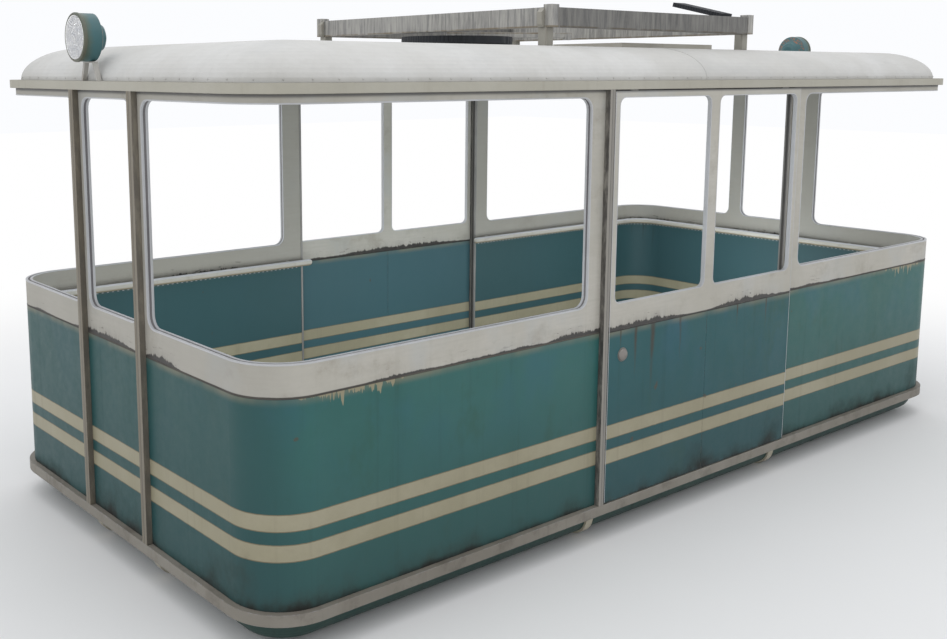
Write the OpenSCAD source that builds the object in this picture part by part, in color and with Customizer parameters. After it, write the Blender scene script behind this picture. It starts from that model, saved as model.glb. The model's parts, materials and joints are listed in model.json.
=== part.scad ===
// Cable car cabin: a long open-windowed body with a sliding door on each side,
// hung from the four corner blocks of a steel frame on its roof.
// The origin is the centre of those blocks' top faces. +X runs along the body
// to the rear end, -Y is the left side, +Z is up, and the cabin hangs below.
// Heights named *_h are measured upwards from the top of the skirt rail.

/* [Body] */
// Length of the body over its end walls
body_l = 5700; // [4500:10:6500]
// Width of the body over its side walls
body_w = 2720; // [2400:10:3000]
// Plan radius of the body's corners
corner_r = 265; // [240:5:320]
// Thickness of the walls
wall_t = 36; // [30:1:50]
// Height of the belt line, where the lower panels end
belt_h = 925; // [850:5:1000]
// Height of the window sills
sill_h = 1064; // [1010:2:1120]
// Height of the tops of the windows
window_top_h = 2112; // [1950:2:2120]
// Height of the underside of the eave rail
eave_h = 2150; // [2140:2:2260]
// Radius of the windows' corners
window_r = 60; // [30:5:90]

/* [Rails and posts] */
// How far the skirt rail, eave rail and posts stand out from the walls
rail_proud = 30; // [29:1:36]
// Depth of the skirt rail
skirt_d = 54; // [46:2:70]
// Depth of the eave rail
eave_d = 44; // [44:1:60]
// Distance of the end posts from the middle of each end
end_post_y = 324; // [300:2:350]
// Width of the end posts
end_post_w = 48; // [40:2:60]
// Half width of the middle window in each end
end_window_half = 270; // [200:5:275]
// Width of the end pillars between the windows
end_pillar_w = 106; // [96:2:130]
// Width of the wall pillar next to a door's post
pillar_left_w = 126; // [90:2:160]
// Width of the wall pillar at a doorway's other side
pillar_right_w = 148; // [100:2:160]
// Diameter of the inside handrail
handrail_d = 44; // [30:1:50]
// Height of the inside handrail
handrail_h = 932; // [900:2:990]

/* [Doors] */
// Start of the left doorway, from the middle of the body
doorway_x0 = -806; // [-850:2:-750]
// End of the left doorway, from the middle of the body
doorway_x1 = 834; // [750:2:850]
// Width of a door
door_w = 1664; // [1660:2:1690]
// Middle of the left door when it is closed
door_x = 38; // [36:1:42]
// Thickness of a door
door_t = 24; // [20:1:24]
// Radius of the door windows' corners
door_window_r = 42; // [20:2:60]
// Width of the pillar between a door's two windows
door_pillar_w = 76; // [50:2:110]
// Width of a door's edge frames
door_stile_w = 34; // [28:1:60]
// Width of the post that a door closes against
door_post_w = 37; // [30:1:40]

/* [Roof] */
// Rise of the roof above the eave rail
roof_rise = 176; // [150:2:230]
// How far in from the edge the roof's curve reaches
roof_curve_w = 363; // [300:2:365]
// Plan radius of the roof's corners
roof_corner_r = 372; // [366:2:420]
// Thickness of the roof shell
roof_t = 28; // [20:1:40]

/* [Roof frame] */
// Length of the roof frame along the body
frame_l = 1780; // [1700:10:1800]
// Width of the roof frame across the body
frame_w = 2070; // [1990:10:2074]
// Depth of the frame's beams
beam_d = 100; // [90:2:104]
// Thickness of the frame's beams
beam_t = 50; // [40:2:60]
// Side of the square corner blocks
block_w = 56; // [54:2:70]
// How far the corner blocks stand above the beams
block_proud = 15; // [5:1:25]
// Height of the gap between the roof and the beams
frame_gap = 93; // [70:1:110]
// Radius of the hanger's bolt holes
hanger_hole_r = 11; // [8:1:14]

/* [Lamps] */
// Diameter of a lamp
lamp_d = 226; // [180:2:240]
// Sideways place of the front lamp
lamp_y = 100; // [0:5:160]
// Height of the lamps' centres
lamp_h = 2398; // [2370:2:2420]

/* [Belly] */
// Depth of the belly pan below the skirt rail
belly_d = 118; // [90:2:160]
// Radius of the belly pan's lower edge
belly_edge_r = 96; // [60:2:110]
// Width of the straps under the belly
strap_w = 52; // [40:2:80]

/* [Hidden] */
$fn = 48;

// Levels in the frame of the hanger's bolt face
roof_h = eave_h + eave_d + roof_rise;
hang_h = roof_h + frame_gap + beam_d + block_proud;
ledge_z = -hang_h;
skirt_z = ledge_z - skirt_d;
belt_z = ledge_z + belt_h;
sill_z = ledge_z + sill_h;
window_top_z = ledge_z + window_top_h;
eave_z = ledge_z + eave_h;
roof_z = eave_z + eave_d;
roof_top_z = ledge_z + roof_h;
beam_z = roof_top_z + frame_gap;
floor_t = 40;

// Plan half sizes
half_l = body_l / 2;
half_w = body_w / 2;
big = 4000;
through = 60;

// Colours
teal = [0.16, 0.38, 0.40];
white = [0.80, 0.79, 0.75];
beige = [0.62, 0.60, 0.55];
zinc = [0.50, 0.50, 0.48];
black = [0.06, 0.06, 0.07];
cream = [0.66, 0.62, 0.52];

// Doors: they slide 6 mm outside the wall and end flush with the rails
door_gap = rail_proud - door_t;
door_inner_y = -(half_w + door_gap);
door_outer_y = -(half_w + rail_proud);
door_lift = 6;
door_z = ledge_z + door_lift;
door_top_z = eave_z - door_lift;
door_x0 = door_x - door_w / 2;
door_post_gap = 5;
door_post_x = door_x0 - door_post_gap - door_post_w;
door_travel = 1600;
door_window_w = (door_w - 2 * door_stile_w - door_pillar_w) / 2;
door_window_off = (door_pillar_w + door_window_w) / 2;
door_window_x = [door_x - door_window_off, door_x + door_window_off];
seam_w = 2;
seam_deep = 1.5;

// Door track: a lip inside the eave rail's slot, with a roller on each hanger
track_slot_h = 38;
track_skin = 6;
track_lip_z = eave_z + 8;
track_lip_h = 6;
track_lip_y = 11;
roller_r = 9;
roller_w = 7;
roller_y = -(half_w + 8.5);
roller_clear = 0.4;
hanger_y = -(half_w + 20);
hanger_t = 4;
hanger_w = 60;
hanger_in = 150;
hanger_top = 12;
axle_r = 3;
hanger_x = [door_x0 + hanger_in, door_x0 + door_w - hanger_in];
roller_z = track_lip_z + track_lip_h + roller_r + roller_clear;
slot_past = 60;
slot_x0 = hanger_x[0] - hanger_w / 2 - slot_past;
slot_x1 = hanger_x[1] + hanger_w / 2 + door_travel + slot_past;

// ---------- shared shapes ----------

// Rectangle with round corners, made of squares and circles
module rounded_rect(l, w, r) {
    square([l - 2 * r, w], center = true);
    square([l, w - 2 * r], center = true);
    for (x = [-1, 1], y = [-1, 1])
        translate([x * (l / 2 - r), y * (w / 2 - r)]) circle(r);
}

// The body's plan outline, moved outwards by grow
module body_outline(grow = 0) {
    rounded_rect(body_l + 2 * grow, body_w + 2 * grow, corner_r + grow);
}

// A ring along the body's outline, between two offsets from the outer wall face
module outline_ring(outer, inner, z, h) {
    translate([0, 0, z]) linear_extrude(h) difference() {
        body_outline(outer);
        body_outline(inner);
    }
}

// The half of everything on the front (-X) side
module front_half() {
    intersection() {
        children();
        translate([-big, -big / 2, -big]) cube([big, big, big]);
    }
}

// Turned half round about the vertical axis: right from left, rear from front
module half_turn() { rotate([0, 0, 180]) children(); }

// Sweeps a profile [reach from the corner's centre, height] round a rounded
// rectangle and fills the middle with a plate between z0 and z1
module swept_slab(l, w, r, profile, z0, z1) {
    dx = l / 2 - r;
    dy = w / 2 - r;
    for (c = [[dx, dy, 0], [-dx, dy, 90], [-dx, -dy, 180], [dx, -dy, 270]])
        translate([c[0], c[1], 0]) rotate([0, 0, c[2]]) rotate_extrude(angle = 90) polygon(profile);
    for (a = [0, 180]) rotate([0, 0, a]) {
        translate([dx, dy, 0]) rotate([90, 0, 0]) linear_extrude(2 * dy) polygon(profile);
        translate([-dx, dy, 0]) rotate([90, 0, 90]) linear_extrude(2 * dx) polygon(profile);
    }
    translate([-dx, -dy, z0]) cube([2 * dx, 2 * dy, z1 - z0]);
}

// Opening in the XZ plane through the left wall, round corners of radius r
module side_cut(x0, x1, z0, z1, r) {
    translate([(x0 + x1) / 2, -half_w + through, (z0 + z1) / 2]) rotate([90, 0, 0])
        linear_extrude(2 * through) rounded_rect(x1 - x0, z1 - z0, r);
}

// Opening in the YZ plane through the front end wall
module end_cut(y0, y1, z0, z1, r) {
    translate([-half_l - through, (y0 + y1) / 2, (z0 + z1) / 2]) rotate([90, 0, 90])
        linear_extrude(2 * through) rounded_rect(y1 - y0, z1 - z0, r);
}

// Both doorways, cut through the walls between two heights
module doorways(z0, z1) {
    for (a = [0, 180]) rotate([0, 0, a])
        translate([doorway_x0, -half_w - through, z0])
            cube([doorway_x1 - doorway_x0, 2 * through, z1 - z0]);
}

// ---------- floor and belly ----------

// Deck that the passengers stand on
module floor_deck() color([0.35, 0.33, 0.30])
    translate([0, 0, ledge_z - floor_t]) linear_extrude(floor_t) body_outline(-wall_t);

// Profile of the belly pan's rounded lower edge, from reach r down to depth d
function belly_profile(r, edge, top, d) = concat(
    [[0, top], [r, top]],
    [for (i = [0:8]) let (a = i * 90 / 8)
        [r - edge + edge * cos(a), top - d + edge - edge * sin(a)]],
    [[0, top - d]]);

belly_inset = 34;
belly_r = corner_r - belly_inset;
belly_l = body_l - 2 * belly_inset;
belly_w = body_w - 2 * belly_inset;
belly_t = 8;

// Tray below the floor, open at the top
module belly_pan() color([0.06, 0.20, 0.19]) difference() {
    swept_slab(belly_l, belly_w, belly_r,
        belly_profile(belly_r, belly_edge_r, skirt_z, belly_d), skirt_z - belly_d, skirt_z);
    swept_slab(belly_l - 2 * belly_t, belly_w - 2 * belly_t, belly_r - belly_t,
        belly_profile(belly_r - belly_t, belly_edge_r - belly_t, skirt_z + 1, belly_d - belly_t + 1),
        skirt_z - belly_d + belly_t, skirt_z + 1);
}

// Rail round the foot of the walls; the walls stand on its inner part
module skirt_rail() color(beige)
    outline_ring(rail_proud, -wall_t, skirt_z, skirt_d);

strap_t = 12;
strap_x = 842;

// Outline of a pan of half width hw and depth d with lower edges of radius r
module pan_outline(hw, r, d) {
    translate([-hw, r - d]) square([2 * hw, d]);
    translate([r - hw, -d]) square([2 * (hw - r), d]);
    for (s = [-1, 1]) translate([s * (hw - r), r - d]) circle(r);
}

// A strap's outline round a pan of half width hw, level with the skirt rail's underside
module strap_outline(hw) difference() {
    intersection() {
        pan_outline(hw + strap_t, belly_edge_r + strap_t, belly_d + strap_t);
        translate([-big, -big]) square([2 * big, big]);
    }
    pan_outline(hw, belly_edge_r, belly_d);
}

// Straps across the belly, below the doorways' edges
module cross_straps() color(cream)
    for (x = [-strap_x, strap_x])
        translate([x - strap_w / 2, 0, skirt_z]) rotate([90, 0, 90])
            linear_extrude(strap_w) strap_outline(belly_w / 2);

// Straps along the belly, below the end posts, cut where they cross the others
module long_straps() color(cream) difference() {
    for (y = [-end_post_y, end_post_y])
        translate([0, y + strap_w / 2, skirt_z]) rotate([90, 0, 0])
            linear_extrude(strap_w) strap_outline(belly_l / 2);
    for (x = [-strap_x, strap_x])
        translate([x - strap_w / 2, -half_w, skirt_z - belly_d - strap_t - 1])
            cube([strap_w, body_w, strap_t + 2]);
}

// ---------- walls ----------

// Lower wall panel of the front end, from one doorway round to the other
module lower_panel_front() color(teal) front_half() difference() {
    outline_ring(0, -wall_t, ledge_z, belt_h);
    doorways(ledge_z - 1, belt_z + 1);
}

module lower_panel_rear() half_turn() lower_panel_front();

// Window that wraps round the front left corner, from the end pillar to side_x
module corner_window(side_x) {
    cx = -half_l + corner_r;
    cy = -half_w + corner_r;
    lap = 2 * window_r;
    h = window_top_z - sill_z;
    side_cut(cx - lap, side_x, sill_z, window_top_z, window_r);
    end_cut(cy - lap, -(end_window_half + end_pillar_w), sill_z, window_top_z, window_r);
    translate([cx, cy, sill_z]) rotate([0, 0, 180]) rotate_extrude(angle = 90)
        translate([corner_r - 2 * wall_t, 0]) square([3 * wall_t, h]);
    translate([cx - 1, -half_w - wall_t, sill_z]) cube([lap, 3 * wall_t, h]);
    translate([-half_l - wall_t, cy - 1, sill_z]) cube([3 * wall_t, lap, h]);
}

// Upper wall of the front end with its five window openings
module window_frame_front() color(white) front_half() difference() {
    outline_ring(0, -wall_t, belt_z, eave_h - belt_h);
    doorways(belt_z - 1, window_top_z);
    corner_window(doorway_x0 - pillar_left_w);
    mirror([0, 1, 0]) corner_window(-doorway_x1 - pillar_right_w);
    end_cut(-end_window_half, end_window_half, sill_z, window_top_z, window_r);
}

// One side of the rear end's upper wall, left at -1 and right at 1, joined at the middle
module window_frame_rear(side) intersection() {
    half_turn() window_frame_front();
    translate([-big, min(side, 0) * big, -big]) cube([2 * big, big, big]);
}

module window_frame_rear_left() window_frame_rear(-1);
module window_frame_rear_right() window_frame_rear(1);

// ---------- posts and rails ----------

// Two posts on the outside of the front end, from skirt rail to eave rail
module end_posts_front() color(beige)
    for (y = [-end_post_y, end_post_y])
        translate([-half_l - rail_proud, y - end_post_w / 2, ledge_z])
            cube([rail_proud, end_post_w, eave_h]);

module end_posts_rear() half_turn() end_posts_front();

// Post that the left door closes against
module left_door_post() color(beige)
    translate([door_post_x, door_outer_y, ledge_z])
        cube([door_post_w, rail_proud, eave_h]);

module right_door_post() half_turn() left_door_post();

// Rail round the top of the walls, slotted from below for the doors' hangers
module eave_rail() color(beige) difference() {
    outline_ring(rail_proud, -wall_t, eave_z, eave_d);
    for (a = [0, 180]) rotate([0, 0, a])
        translate([slot_x0, -half_w - rail_proud + track_skin, eave_z - 1])
            cube([slot_x1 - slot_x0, rail_proud - track_skin, track_slot_h + 1]);
}

// Lip in the slot that the left door's rollers run on
module left_door_track() color(zinc)
    translate([slot_x0, -half_w - track_lip_y, track_lip_z])
        cube([slot_x1 - slot_x0, track_lip_y, track_lip_h]);

module right_door_track() half_turn() left_door_track();

ceiling_t = 12;

// Panel that closes the roof space above the passengers
module ceiling() color([0.62, 0.66, 0.68])
    translate([0, 0, roof_z - ceiling_t]) linear_extrude(ceiling_t) body_outline(-wall_t);

rail_gap = 25;
rail_off = wall_t + rail_gap + handrail_d / 2;
rail_z = ledge_z + handrail_h;
rail_past = 24;
rail_x0 = -half_l + corner_r;
rail_left_x1 = doorway_x0 + rail_past;
rail_right_x1 = -doorway_x1 + rail_past;
bracket_d = 16;
rail_sink = 4;
bracket_in = 150;
end_bracket_y = 700;

// Straight length of handrail along X on the left side, up to x1
module handrail_side(x1) {
    translate([rail_x0, -half_w + rail_off, rail_z]) rotate([0, 90, 0])
        cylinder(d = handrail_d, h = x1 - rail_x0);
    translate([x1, -half_w + rail_off, rail_z]) sphere(d = handrail_d);
}

// Handrail round the inside of the front end
module handrail_front() color(cream) {
    handrail_side(rail_left_x1);
    mirror([0, 1, 0]) handrail_side(rail_right_x1);
    for (s = [0, 1]) mirror([0, s, 0])
        translate([rail_x0, -half_w + corner_r, rail_z]) rotate([0, 0, 180])
            rotate_extrude(angle = 90) translate([corner_r - rail_off, 0]) circle(d = handrail_d);
    translate([-half_l + rail_off, half_w - corner_r, rail_z]) rotate([90, 0, 0])
        cylinder(d = handrail_d, h = body_w - 2 * corner_r);
}

module handrail_rear() half_turn() handrail_front();

// Short stubs that hold the left handrail of the front end to the wall
module side_brackets(x1)
    for (x = [rail_x0 + bracket_in, x1 - bracket_in])
        translate([x, -half_w + wall_t, rail_z]) rotate([-90, 0, 0])
            cylinder(d = bracket_d, h = rail_gap + rail_sink);

// Stubs of both handrails, two on each straight length
module handrail_brackets() color(cream) for (a = [0, 180]) rotate([0, 0, a]) difference() {
    union() {
        side_brackets(rail_left_x1);
        mirror([0, 1, 0]) side_brackets(rail_right_x1);
        for (y = [-end_bracket_y, end_bracket_y])
            translate([-half_l + wall_t, y, rail_z]) rotate([0, 90, 0])
                cylinder(d = bracket_d, h = rail_gap + rail_sink);
    }
    handrail_front();
}

// ---------- roof ----------

roof_steps = 14;

// Profile of the roof's edge, an ellipse's quarter
function roof_profile(r, reach, rise, z) = concat(
    [[0, z], [r, z]],
    [for (i = [1:roof_steps]) let (a = i * 90 / roof_steps)
        [r - reach + reach * cos(a), z + rise * sin(a)]],
    [[0, z + rise]]);

// Solid roof form, moved inwards by inset
module roof_form(inset, z0) {
    swept_slab(body_l - 2 * inset, body_w - 2 * inset, roof_corner_r - inset,
        roof_profile(roof_corner_r - inset, roof_curve_w - inset, roof_rise + roof_z - z0 - inset, z0),
        z0, roof_top_z - inset);
}

// Front half of the roof, a shell open at the bottom
module roof_front() color(white) front_half() difference() {
    roof_form(0, roof_z);
    roof_form(roof_t, roof_z - 1);
}

module roof_rear() half_turn() roof_front();

seam_strip_w = 26;
seam_strip_t = 1.6;

// Strip that covers the joint between the roof's halves
module roof_seam_strip() color(white) {
    dy = half_w - roof_corner_r;
    translate([-seam_strip_w / 2, 0, 0]) rotate([90, 0, 90]) linear_extrude(seam_strip_w) difference() {
        for (s = [0, 1]) mirror([s, 0]) {
            translate([dy, 0]) polygon(roof_profile(roof_corner_r + seam_strip_t,
                roof_curve_w + seam_strip_t, roof_rise + seam_strip_t, roof_z));
            translate([-1, roof_z]) square([dy + 2, roof_rise + seam_strip_t]);
        }
        for (s = [0, 1]) mirror([s, 0]) {
            translate([dy, 0]) polygon(roof_profile(roof_corner_r, roof_curve_w, roof_rise, roof_z));
            translate([-2, roof_z - 1]) square([dy + 4, roof_rise + 1]);
        }
        translate([-big, roof_z - 1]) square([2 * big, 1]);
    }
}

// ---------- roof frame ----------

beam_x = frame_l / 2;
beam_y = frame_w / 2;
beam_wall = 5;

// Box beam of length l along X, centred, outer face at y = 0, reaching inwards (+Y)
module box_beam(l) {
    difference() {
        translate([-l / 2, 0, beam_z]) cube([l, beam_t, beam_d]);
        translate([-l / 2 - 1, beam_wall, beam_z + beam_wall])
            cube([l + 2, beam_t - 2 * beam_wall, beam_d - 2 * beam_wall]);
    }
}

module left_frame_beam() color(zinc) translate([0, -beam_y, 0]) box_beam(frame_l - 2 * block_w);
module right_frame_beam() half_turn() left_frame_beam();
module front_frame_beam() color(zinc)
    translate([-beam_x, 0, 0]) rotate([0, 0, -90]) box_beam(frame_w - 2 * block_w);
module rear_frame_beam() half_turn() front_frame_beam();

block_cx = beam_x - block_w / 2;
block_cy = beam_y - block_w / 2;

// Corner blocks with the hanger's bolt holes
module hanger_blocks() color(zinc)
    for (x = [-1, 1], y = [-1, 1])
        translate([x * block_cx, y * block_cy, 0]) difference() {
            translate([-block_w / 2, -block_w / 2, beam_z]) cube([block_w, block_w, -beam_z]);
            translate([0, 0, beam_z - 1]) cylinder(r = hanger_hole_r, h = 2 - beam_z);
        }

leg_w = 54;
leg_in = 8;
leg_x = beam_x - leg_w / 2;
leg_y = beam_y - block_w - leg_in;

// Four short legs that stand on the roof and carry the frame
module frame_legs() color(zinc)
    for (x = [-1, 1], y = [-1, 1])
        translate([x * leg_x - leg_w / 2, y * leg_y - leg_w / 2, roof_top_z])
            cube([leg_w, leg_w, frame_gap]);

lug_out = 22;
lug_foot = 13;
lug_w = 34;
lug_chamfer = 14;
lug_slope = 22;

// Chamfered lugs on the outer faces of the end beams, next to the corners
module frame_lugs() color(zinc)
    for (a = [0, 180], s = [-1, 1]) rotate([0, 0, a])
        translate([-beam_x, s * leg_y + lug_w / 2, beam_z]) rotate([90, 0, 0]) linear_extrude(lug_w)
            polygon([[0, 0], [-lug_foot, 0], [-lug_out, lug_chamfer],
                [-lug_out, beam_d - lug_slope - 2], [0, beam_d - 2]]);

disc_x = -600;
disc_r = 330;
disc_t = 42;
disc_foot_r = 150;
disc_foot_t = 30;

// Flat round turntable disc on a short foot on the roof
module slewing_disc() color(black) translate([disc_x, 0, roof_top_z]) {
    cylinder(r = disc_foot_r, h = disc_foot_t, $fn = 64);
    translate([0, 0, disc_foot_t]) cylinder(r = disc_r, h = disc_t, $fn = 96);
}

arm_back = 60;
arm_l = 660;
arm_end_l = 40;
arm_end_w = 52;
arm_end_drop = 14;
arm_w = 44;
arm_turn = -31;
arm_z = roof_top_z + disc_foot_t + disc_t;
arm_t = 30;

// Arm that lies on the disc and reaches towards the left side
module lock_arm() color(zinc) translate([disc_x, 0, arm_z]) rotate([0, 0, arm_turn]) {
    translate([-arm_back, -arm_w / 2, 0]) cube([arm_back + arm_l, arm_w, arm_t]);
    translate([arm_l, -arm_end_w / 2, -arm_end_drop])
        cube([arm_end_l, arm_end_w, arm_t + arm_end_drop]);
}

hatch_x0 = 560;
hatch_l = 960;
hatch_w = 600;
hatch_d = 54;
hatch_wall = 20;
hatch_lid = 10;

// Low box of the roof hatch
module roof_hatch() color(cream)
    translate([hatch_x0, -hatch_w / 2, roof_top_z]) difference() {
        cube([hatch_l, hatch_w, hatch_d]);
        translate([hatch_wall, hatch_wall, -1])
            cube([hatch_l - 2 * hatch_wall, hatch_w - 2 * hatch_wall, hatch_d - hatch_lid + 1]);
    }

buffer_l = 360;
buffer_w = 120;
buffer_t = 26;
buffer_tilt = 13;
buffer_foot_l = 60;
buffer_foot_t = 9;

// Black pad that lies tilted on the rear beam
module buffer_plate() color(black)
    translate([beam_x - beam_t - buffer_w, buffer_foot_l - leg_y, beam_z + beam_d]) {
        rotate([buffer_tilt, 0, 0]) cube([buffer_w, buffer_l, buffer_t]);
        cube([buffer_w + beam_t / 2, buffer_foot_l, buffer_foot_t]);
    }

// ---------- lamps ----------

lamp_r = lamp_d / 2;
lamp_z = ledge_z + lamp_h;
lamp_x = -half_l - 15;
lamp_face = 75;
lamp_rim_t = 8;
lamp_lens_r = lamp_r - lamp_rim_t;
lamp_drum_l = 90;
lamp_back_r = 70;
lamp_back_l = 55;
lamp_step = 14;
lamp_well = 40;
lens_dome = 10;
lens_back = 12;

// Round lamp housing: an open drum with a domed back
module front_lamp_housing() color(teal)
    translate([lamp_x - lamp_face, lamp_y, lamp_z]) rotate([0, 90, 0]) rotate_extrude($fn = 96)
        polygon([[lamp_lens_r, 0], [lamp_r, 0], [lamp_r, lamp_drum_l],
            [lamp_back_r + lamp_step, lamp_drum_l + lamp_step],
            [lamp_back_r, lamp_drum_l + lamp_step + 10],
            [lamp_back_r * 0.86, lamp_drum_l + lamp_back_l * 0.76],
            [lamp_back_r * 0.5, lamp_drum_l + lamp_back_l], [0, lamp_drum_l + lamp_back_l + 2],
            [0, lamp_well], [lamp_lens_r, lamp_well]]);

// Clear front glass, slightly domed
module front_lamp_lens() color([0.85, 0.87, 0.87])
    translate([lamp_x - lamp_face, lamp_y, lamp_z]) rotate([0, 90, 0]) rotate_extrude($fn = 96)
        polygon([[0, -lens_dome], [lamp_lens_r * 0.5, 3 - lens_dome], [lamp_lens_r, 3],
            [lamp_lens_r, lens_back], [0, lens_back]]);

lamp_leg_t = 22;
lamp_leg_w = 18;
lamp_leg_foot_y = 85;
lamp_leg_lean = 34;
lamp_plate_w = 124;
lamp_plate_t = 6;

// Two legs from the eave rail to a small plate below the lamp
module front_lamp_bracket() color(zinc) {
    top_z = lamp_z - lamp_r - lamp_plate_t;
    foot_z = eave_z + eave_d;
    rise = top_z - foot_z;
    translate([lamp_x - lamp_leg_t / 2, lamp_y - lamp_plate_w / 2, top_z])
        cube([lamp_leg_t, lamp_plate_w, lamp_plate_t]);
    for (s = [-1, 1])
        multmatrix([[1, 0, 0, lamp_x - lamp_leg_t / 2],
            [0, 1, -s * lamp_leg_lean / rise, lamp_y + s * lamp_leg_foot_y],
            [0, 0, 1, foot_z], [0, 0, 0, 1]])
            translate([0, -lamp_leg_w / 2, 0]) cube([lamp_leg_t, lamp_leg_w, rise]);
}

module rear_lamp_housing() half_turn() front_lamp_housing();
module rear_lamp_lens() half_turn() front_lamp_lens();
module rear_lamp_bracket() half_turn() front_lamp_bracket();

// ---------- doors ----------

// Lower panel of the left door, with its middle seam
module left_door_panel() color(teal) difference() {
    translate([door_x0, door_outer_y, door_z]) cube([door_w, door_t, belt_h - door_lift]);
    for (y = [door_outer_y - 1, door_inner_y - seam_deep])
        translate([door_x - seam_w / 2, y, door_z - 1]) cube([seam_w, seam_deep + 1, belt_h]);
}

// Upper frame of the left door with two window openings
module left_door_window_frame() color(white) difference() {
    translate([door_x0, door_outer_y, belt_z]) cube([door_w, door_t, door_top_z - belt_z]);
    for (x = door_window_x)
        side_cut(x - door_window_w / 2, x + door_window_w / 2, sill_z, window_top_z, door_window_r);
}

// Two hangers with rollers that carry the left door
module left_door_hangers() color(zinc)
    for (x = hanger_x) {
        translate([x - hanger_w / 2, hanger_y - hanger_t / 2, door_top_z])
            cube([hanger_w, hanger_t, roller_z + hanger_top - door_top_z]);
        translate([x, roller_y - roller_w / 2, roller_z])
            rotate([-90, 0, 0]) cylinder(r = roller_r, h = roller_w);
        translate([x, hanger_y, roller_z])
            rotate([-90, 0, 0]) cylinder(r = axle_r, h = roller_y - hanger_y);
    }

knob_r = 34;
knob_in = 110;
knob_x = door_x0 + knob_in;
knob_h = 790;
knob_out = 18;
knob_rim_t = 3;

// Round domed knob on the outside of the left door
module left_door_knob() color(zinc)
    translate([knob_x, door_outer_y, ledge_z + knob_h]) rotate([90, 0, 0]) rotate_extrude()
        polygon(concat([[0, 0], [knob_r, 0], [knob_r, knob_rim_t]],
            [for (i = [1:6]) let (a = i * 15)
                [knob_r * cos(a), knob_rim_t + (knob_out - knob_rim_t) * sin(a)]]));

module right_door_panel() half_turn() left_door_panel();
module right_door_window_frame() half_turn() left_door_window_frame();
module right_door_hangers() half_turn() left_door_hangers();
module right_door_knob() half_turn() left_door_knob();

floor_deck();
belly_pan();
skirt_rail();
cross_straps();
long_straps();
lower_panel_front();
lower_panel_rear();
window_frame_front();
window_frame_rear_left();
window_frame_rear_right();
end_posts_front();
end_posts_rear();
left_door_post();
right_door_post();
eave_rail();
left_door_track();
right_door_track();
ceiling();
roof_front();
roof_rear();
roof_seam_strip();
handrail_front();
handrail_rear();
handrail_brackets();
left_frame_beam();
right_frame_beam();
front_frame_beam();
rear_frame_beam();
hanger_blocks();
frame_legs();
frame_lugs();
slewing_disc();
lock_arm();
roof_hatch();
buffer_plate();
front_lamp_bracket();
front_lamp_housing();
front_lamp_lens();
rear_lamp_bracket();
rear_lamp_housing();
rear_lamp_lens();
left_door_panel();
left_door_window_frame();
left_door_hangers();
left_door_knob();
right_door_panel();
right_door_window_frame();
right_door_hangers();
right_door_knob();
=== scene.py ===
import json
import math

import bmesh
import bpy
from mathutils import Matrix, Vector


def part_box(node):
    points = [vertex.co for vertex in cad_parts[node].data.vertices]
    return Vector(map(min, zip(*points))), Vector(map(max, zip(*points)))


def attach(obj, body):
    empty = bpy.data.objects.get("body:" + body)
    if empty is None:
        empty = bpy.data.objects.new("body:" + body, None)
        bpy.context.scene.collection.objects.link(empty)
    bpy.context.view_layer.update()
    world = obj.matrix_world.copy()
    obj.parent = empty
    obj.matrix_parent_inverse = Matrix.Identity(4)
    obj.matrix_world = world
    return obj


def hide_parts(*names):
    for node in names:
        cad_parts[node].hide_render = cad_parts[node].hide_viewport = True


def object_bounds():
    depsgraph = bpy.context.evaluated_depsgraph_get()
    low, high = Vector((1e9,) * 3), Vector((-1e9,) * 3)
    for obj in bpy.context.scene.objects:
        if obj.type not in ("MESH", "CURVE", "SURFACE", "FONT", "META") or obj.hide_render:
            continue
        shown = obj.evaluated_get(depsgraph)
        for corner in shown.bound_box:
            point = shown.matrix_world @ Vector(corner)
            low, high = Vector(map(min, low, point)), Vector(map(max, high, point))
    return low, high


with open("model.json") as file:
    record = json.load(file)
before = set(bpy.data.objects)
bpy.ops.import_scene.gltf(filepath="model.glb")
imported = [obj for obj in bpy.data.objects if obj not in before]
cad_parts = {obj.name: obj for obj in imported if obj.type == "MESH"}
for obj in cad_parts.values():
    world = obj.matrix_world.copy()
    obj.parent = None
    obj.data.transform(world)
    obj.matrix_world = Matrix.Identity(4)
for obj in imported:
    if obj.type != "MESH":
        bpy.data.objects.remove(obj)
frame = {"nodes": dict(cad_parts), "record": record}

cad_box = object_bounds()
nodes = frame["nodes"]

# ---------- Camera ----------
# The eye stands off the front left corner, a little above the eave rail, and looks
# slightly down along the left side, so the front end and the whole left side show.
walls_foot_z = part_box("lower_panel_front")[0].z
eye = Vector((-5.088, -4.960, walls_foot_z + 2.231))
look_down = math.radians(8.805)
look_round = math.radians(39.04)

camera_data = bpy.data.cameras.new("camera")
camera_data.lens = 41.83
camera_data.sensor_width = 36
camera_data.shift_x = 0.0817
camera_data.shift_y = -0.0803
camera = bpy.data.objects.new("camera", camera_data)
camera.location = eye
camera.rotation_euler = (math.pi / 2 - look_down, 0, -look_round)
bpy.context.scene.collection.objects.link(camera)
bpy.context.scene.camera = camera

# ---------- Shader nodes ----------
# Short ways to add and link shader nodes. The floor of the studio is the first to use
# them, and every finish of the cabin after it.
COLOR, VALUE, VECTOR = "NodeSocketColor", "NodeSocketFloat", "NodeSocketVector"


def node(tree, kind, inputs=None, **settings):
    """Adds one node, sets it up, and links or fills the inputs given by name or number."""
    made = tree.nodes.new(kind)
    for name, value in settings.items():
        setattr(made, name, value)
    for name, value in (inputs or {}).items():
        if isinstance(value, bpy.types.NodeSocket):
            tree.links.new(value, made.inputs[name])
        else:
            made.inputs[name].default_value = value
    return made


def calc(tree, operation, *values, clamp=False):
    """Result of one sum on up to three values."""
    made = node(tree, "ShaderNodeMath", dict(enumerate(values)), operation=operation)
    made.use_clamp = clamp
    return made.outputs[0]


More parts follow.
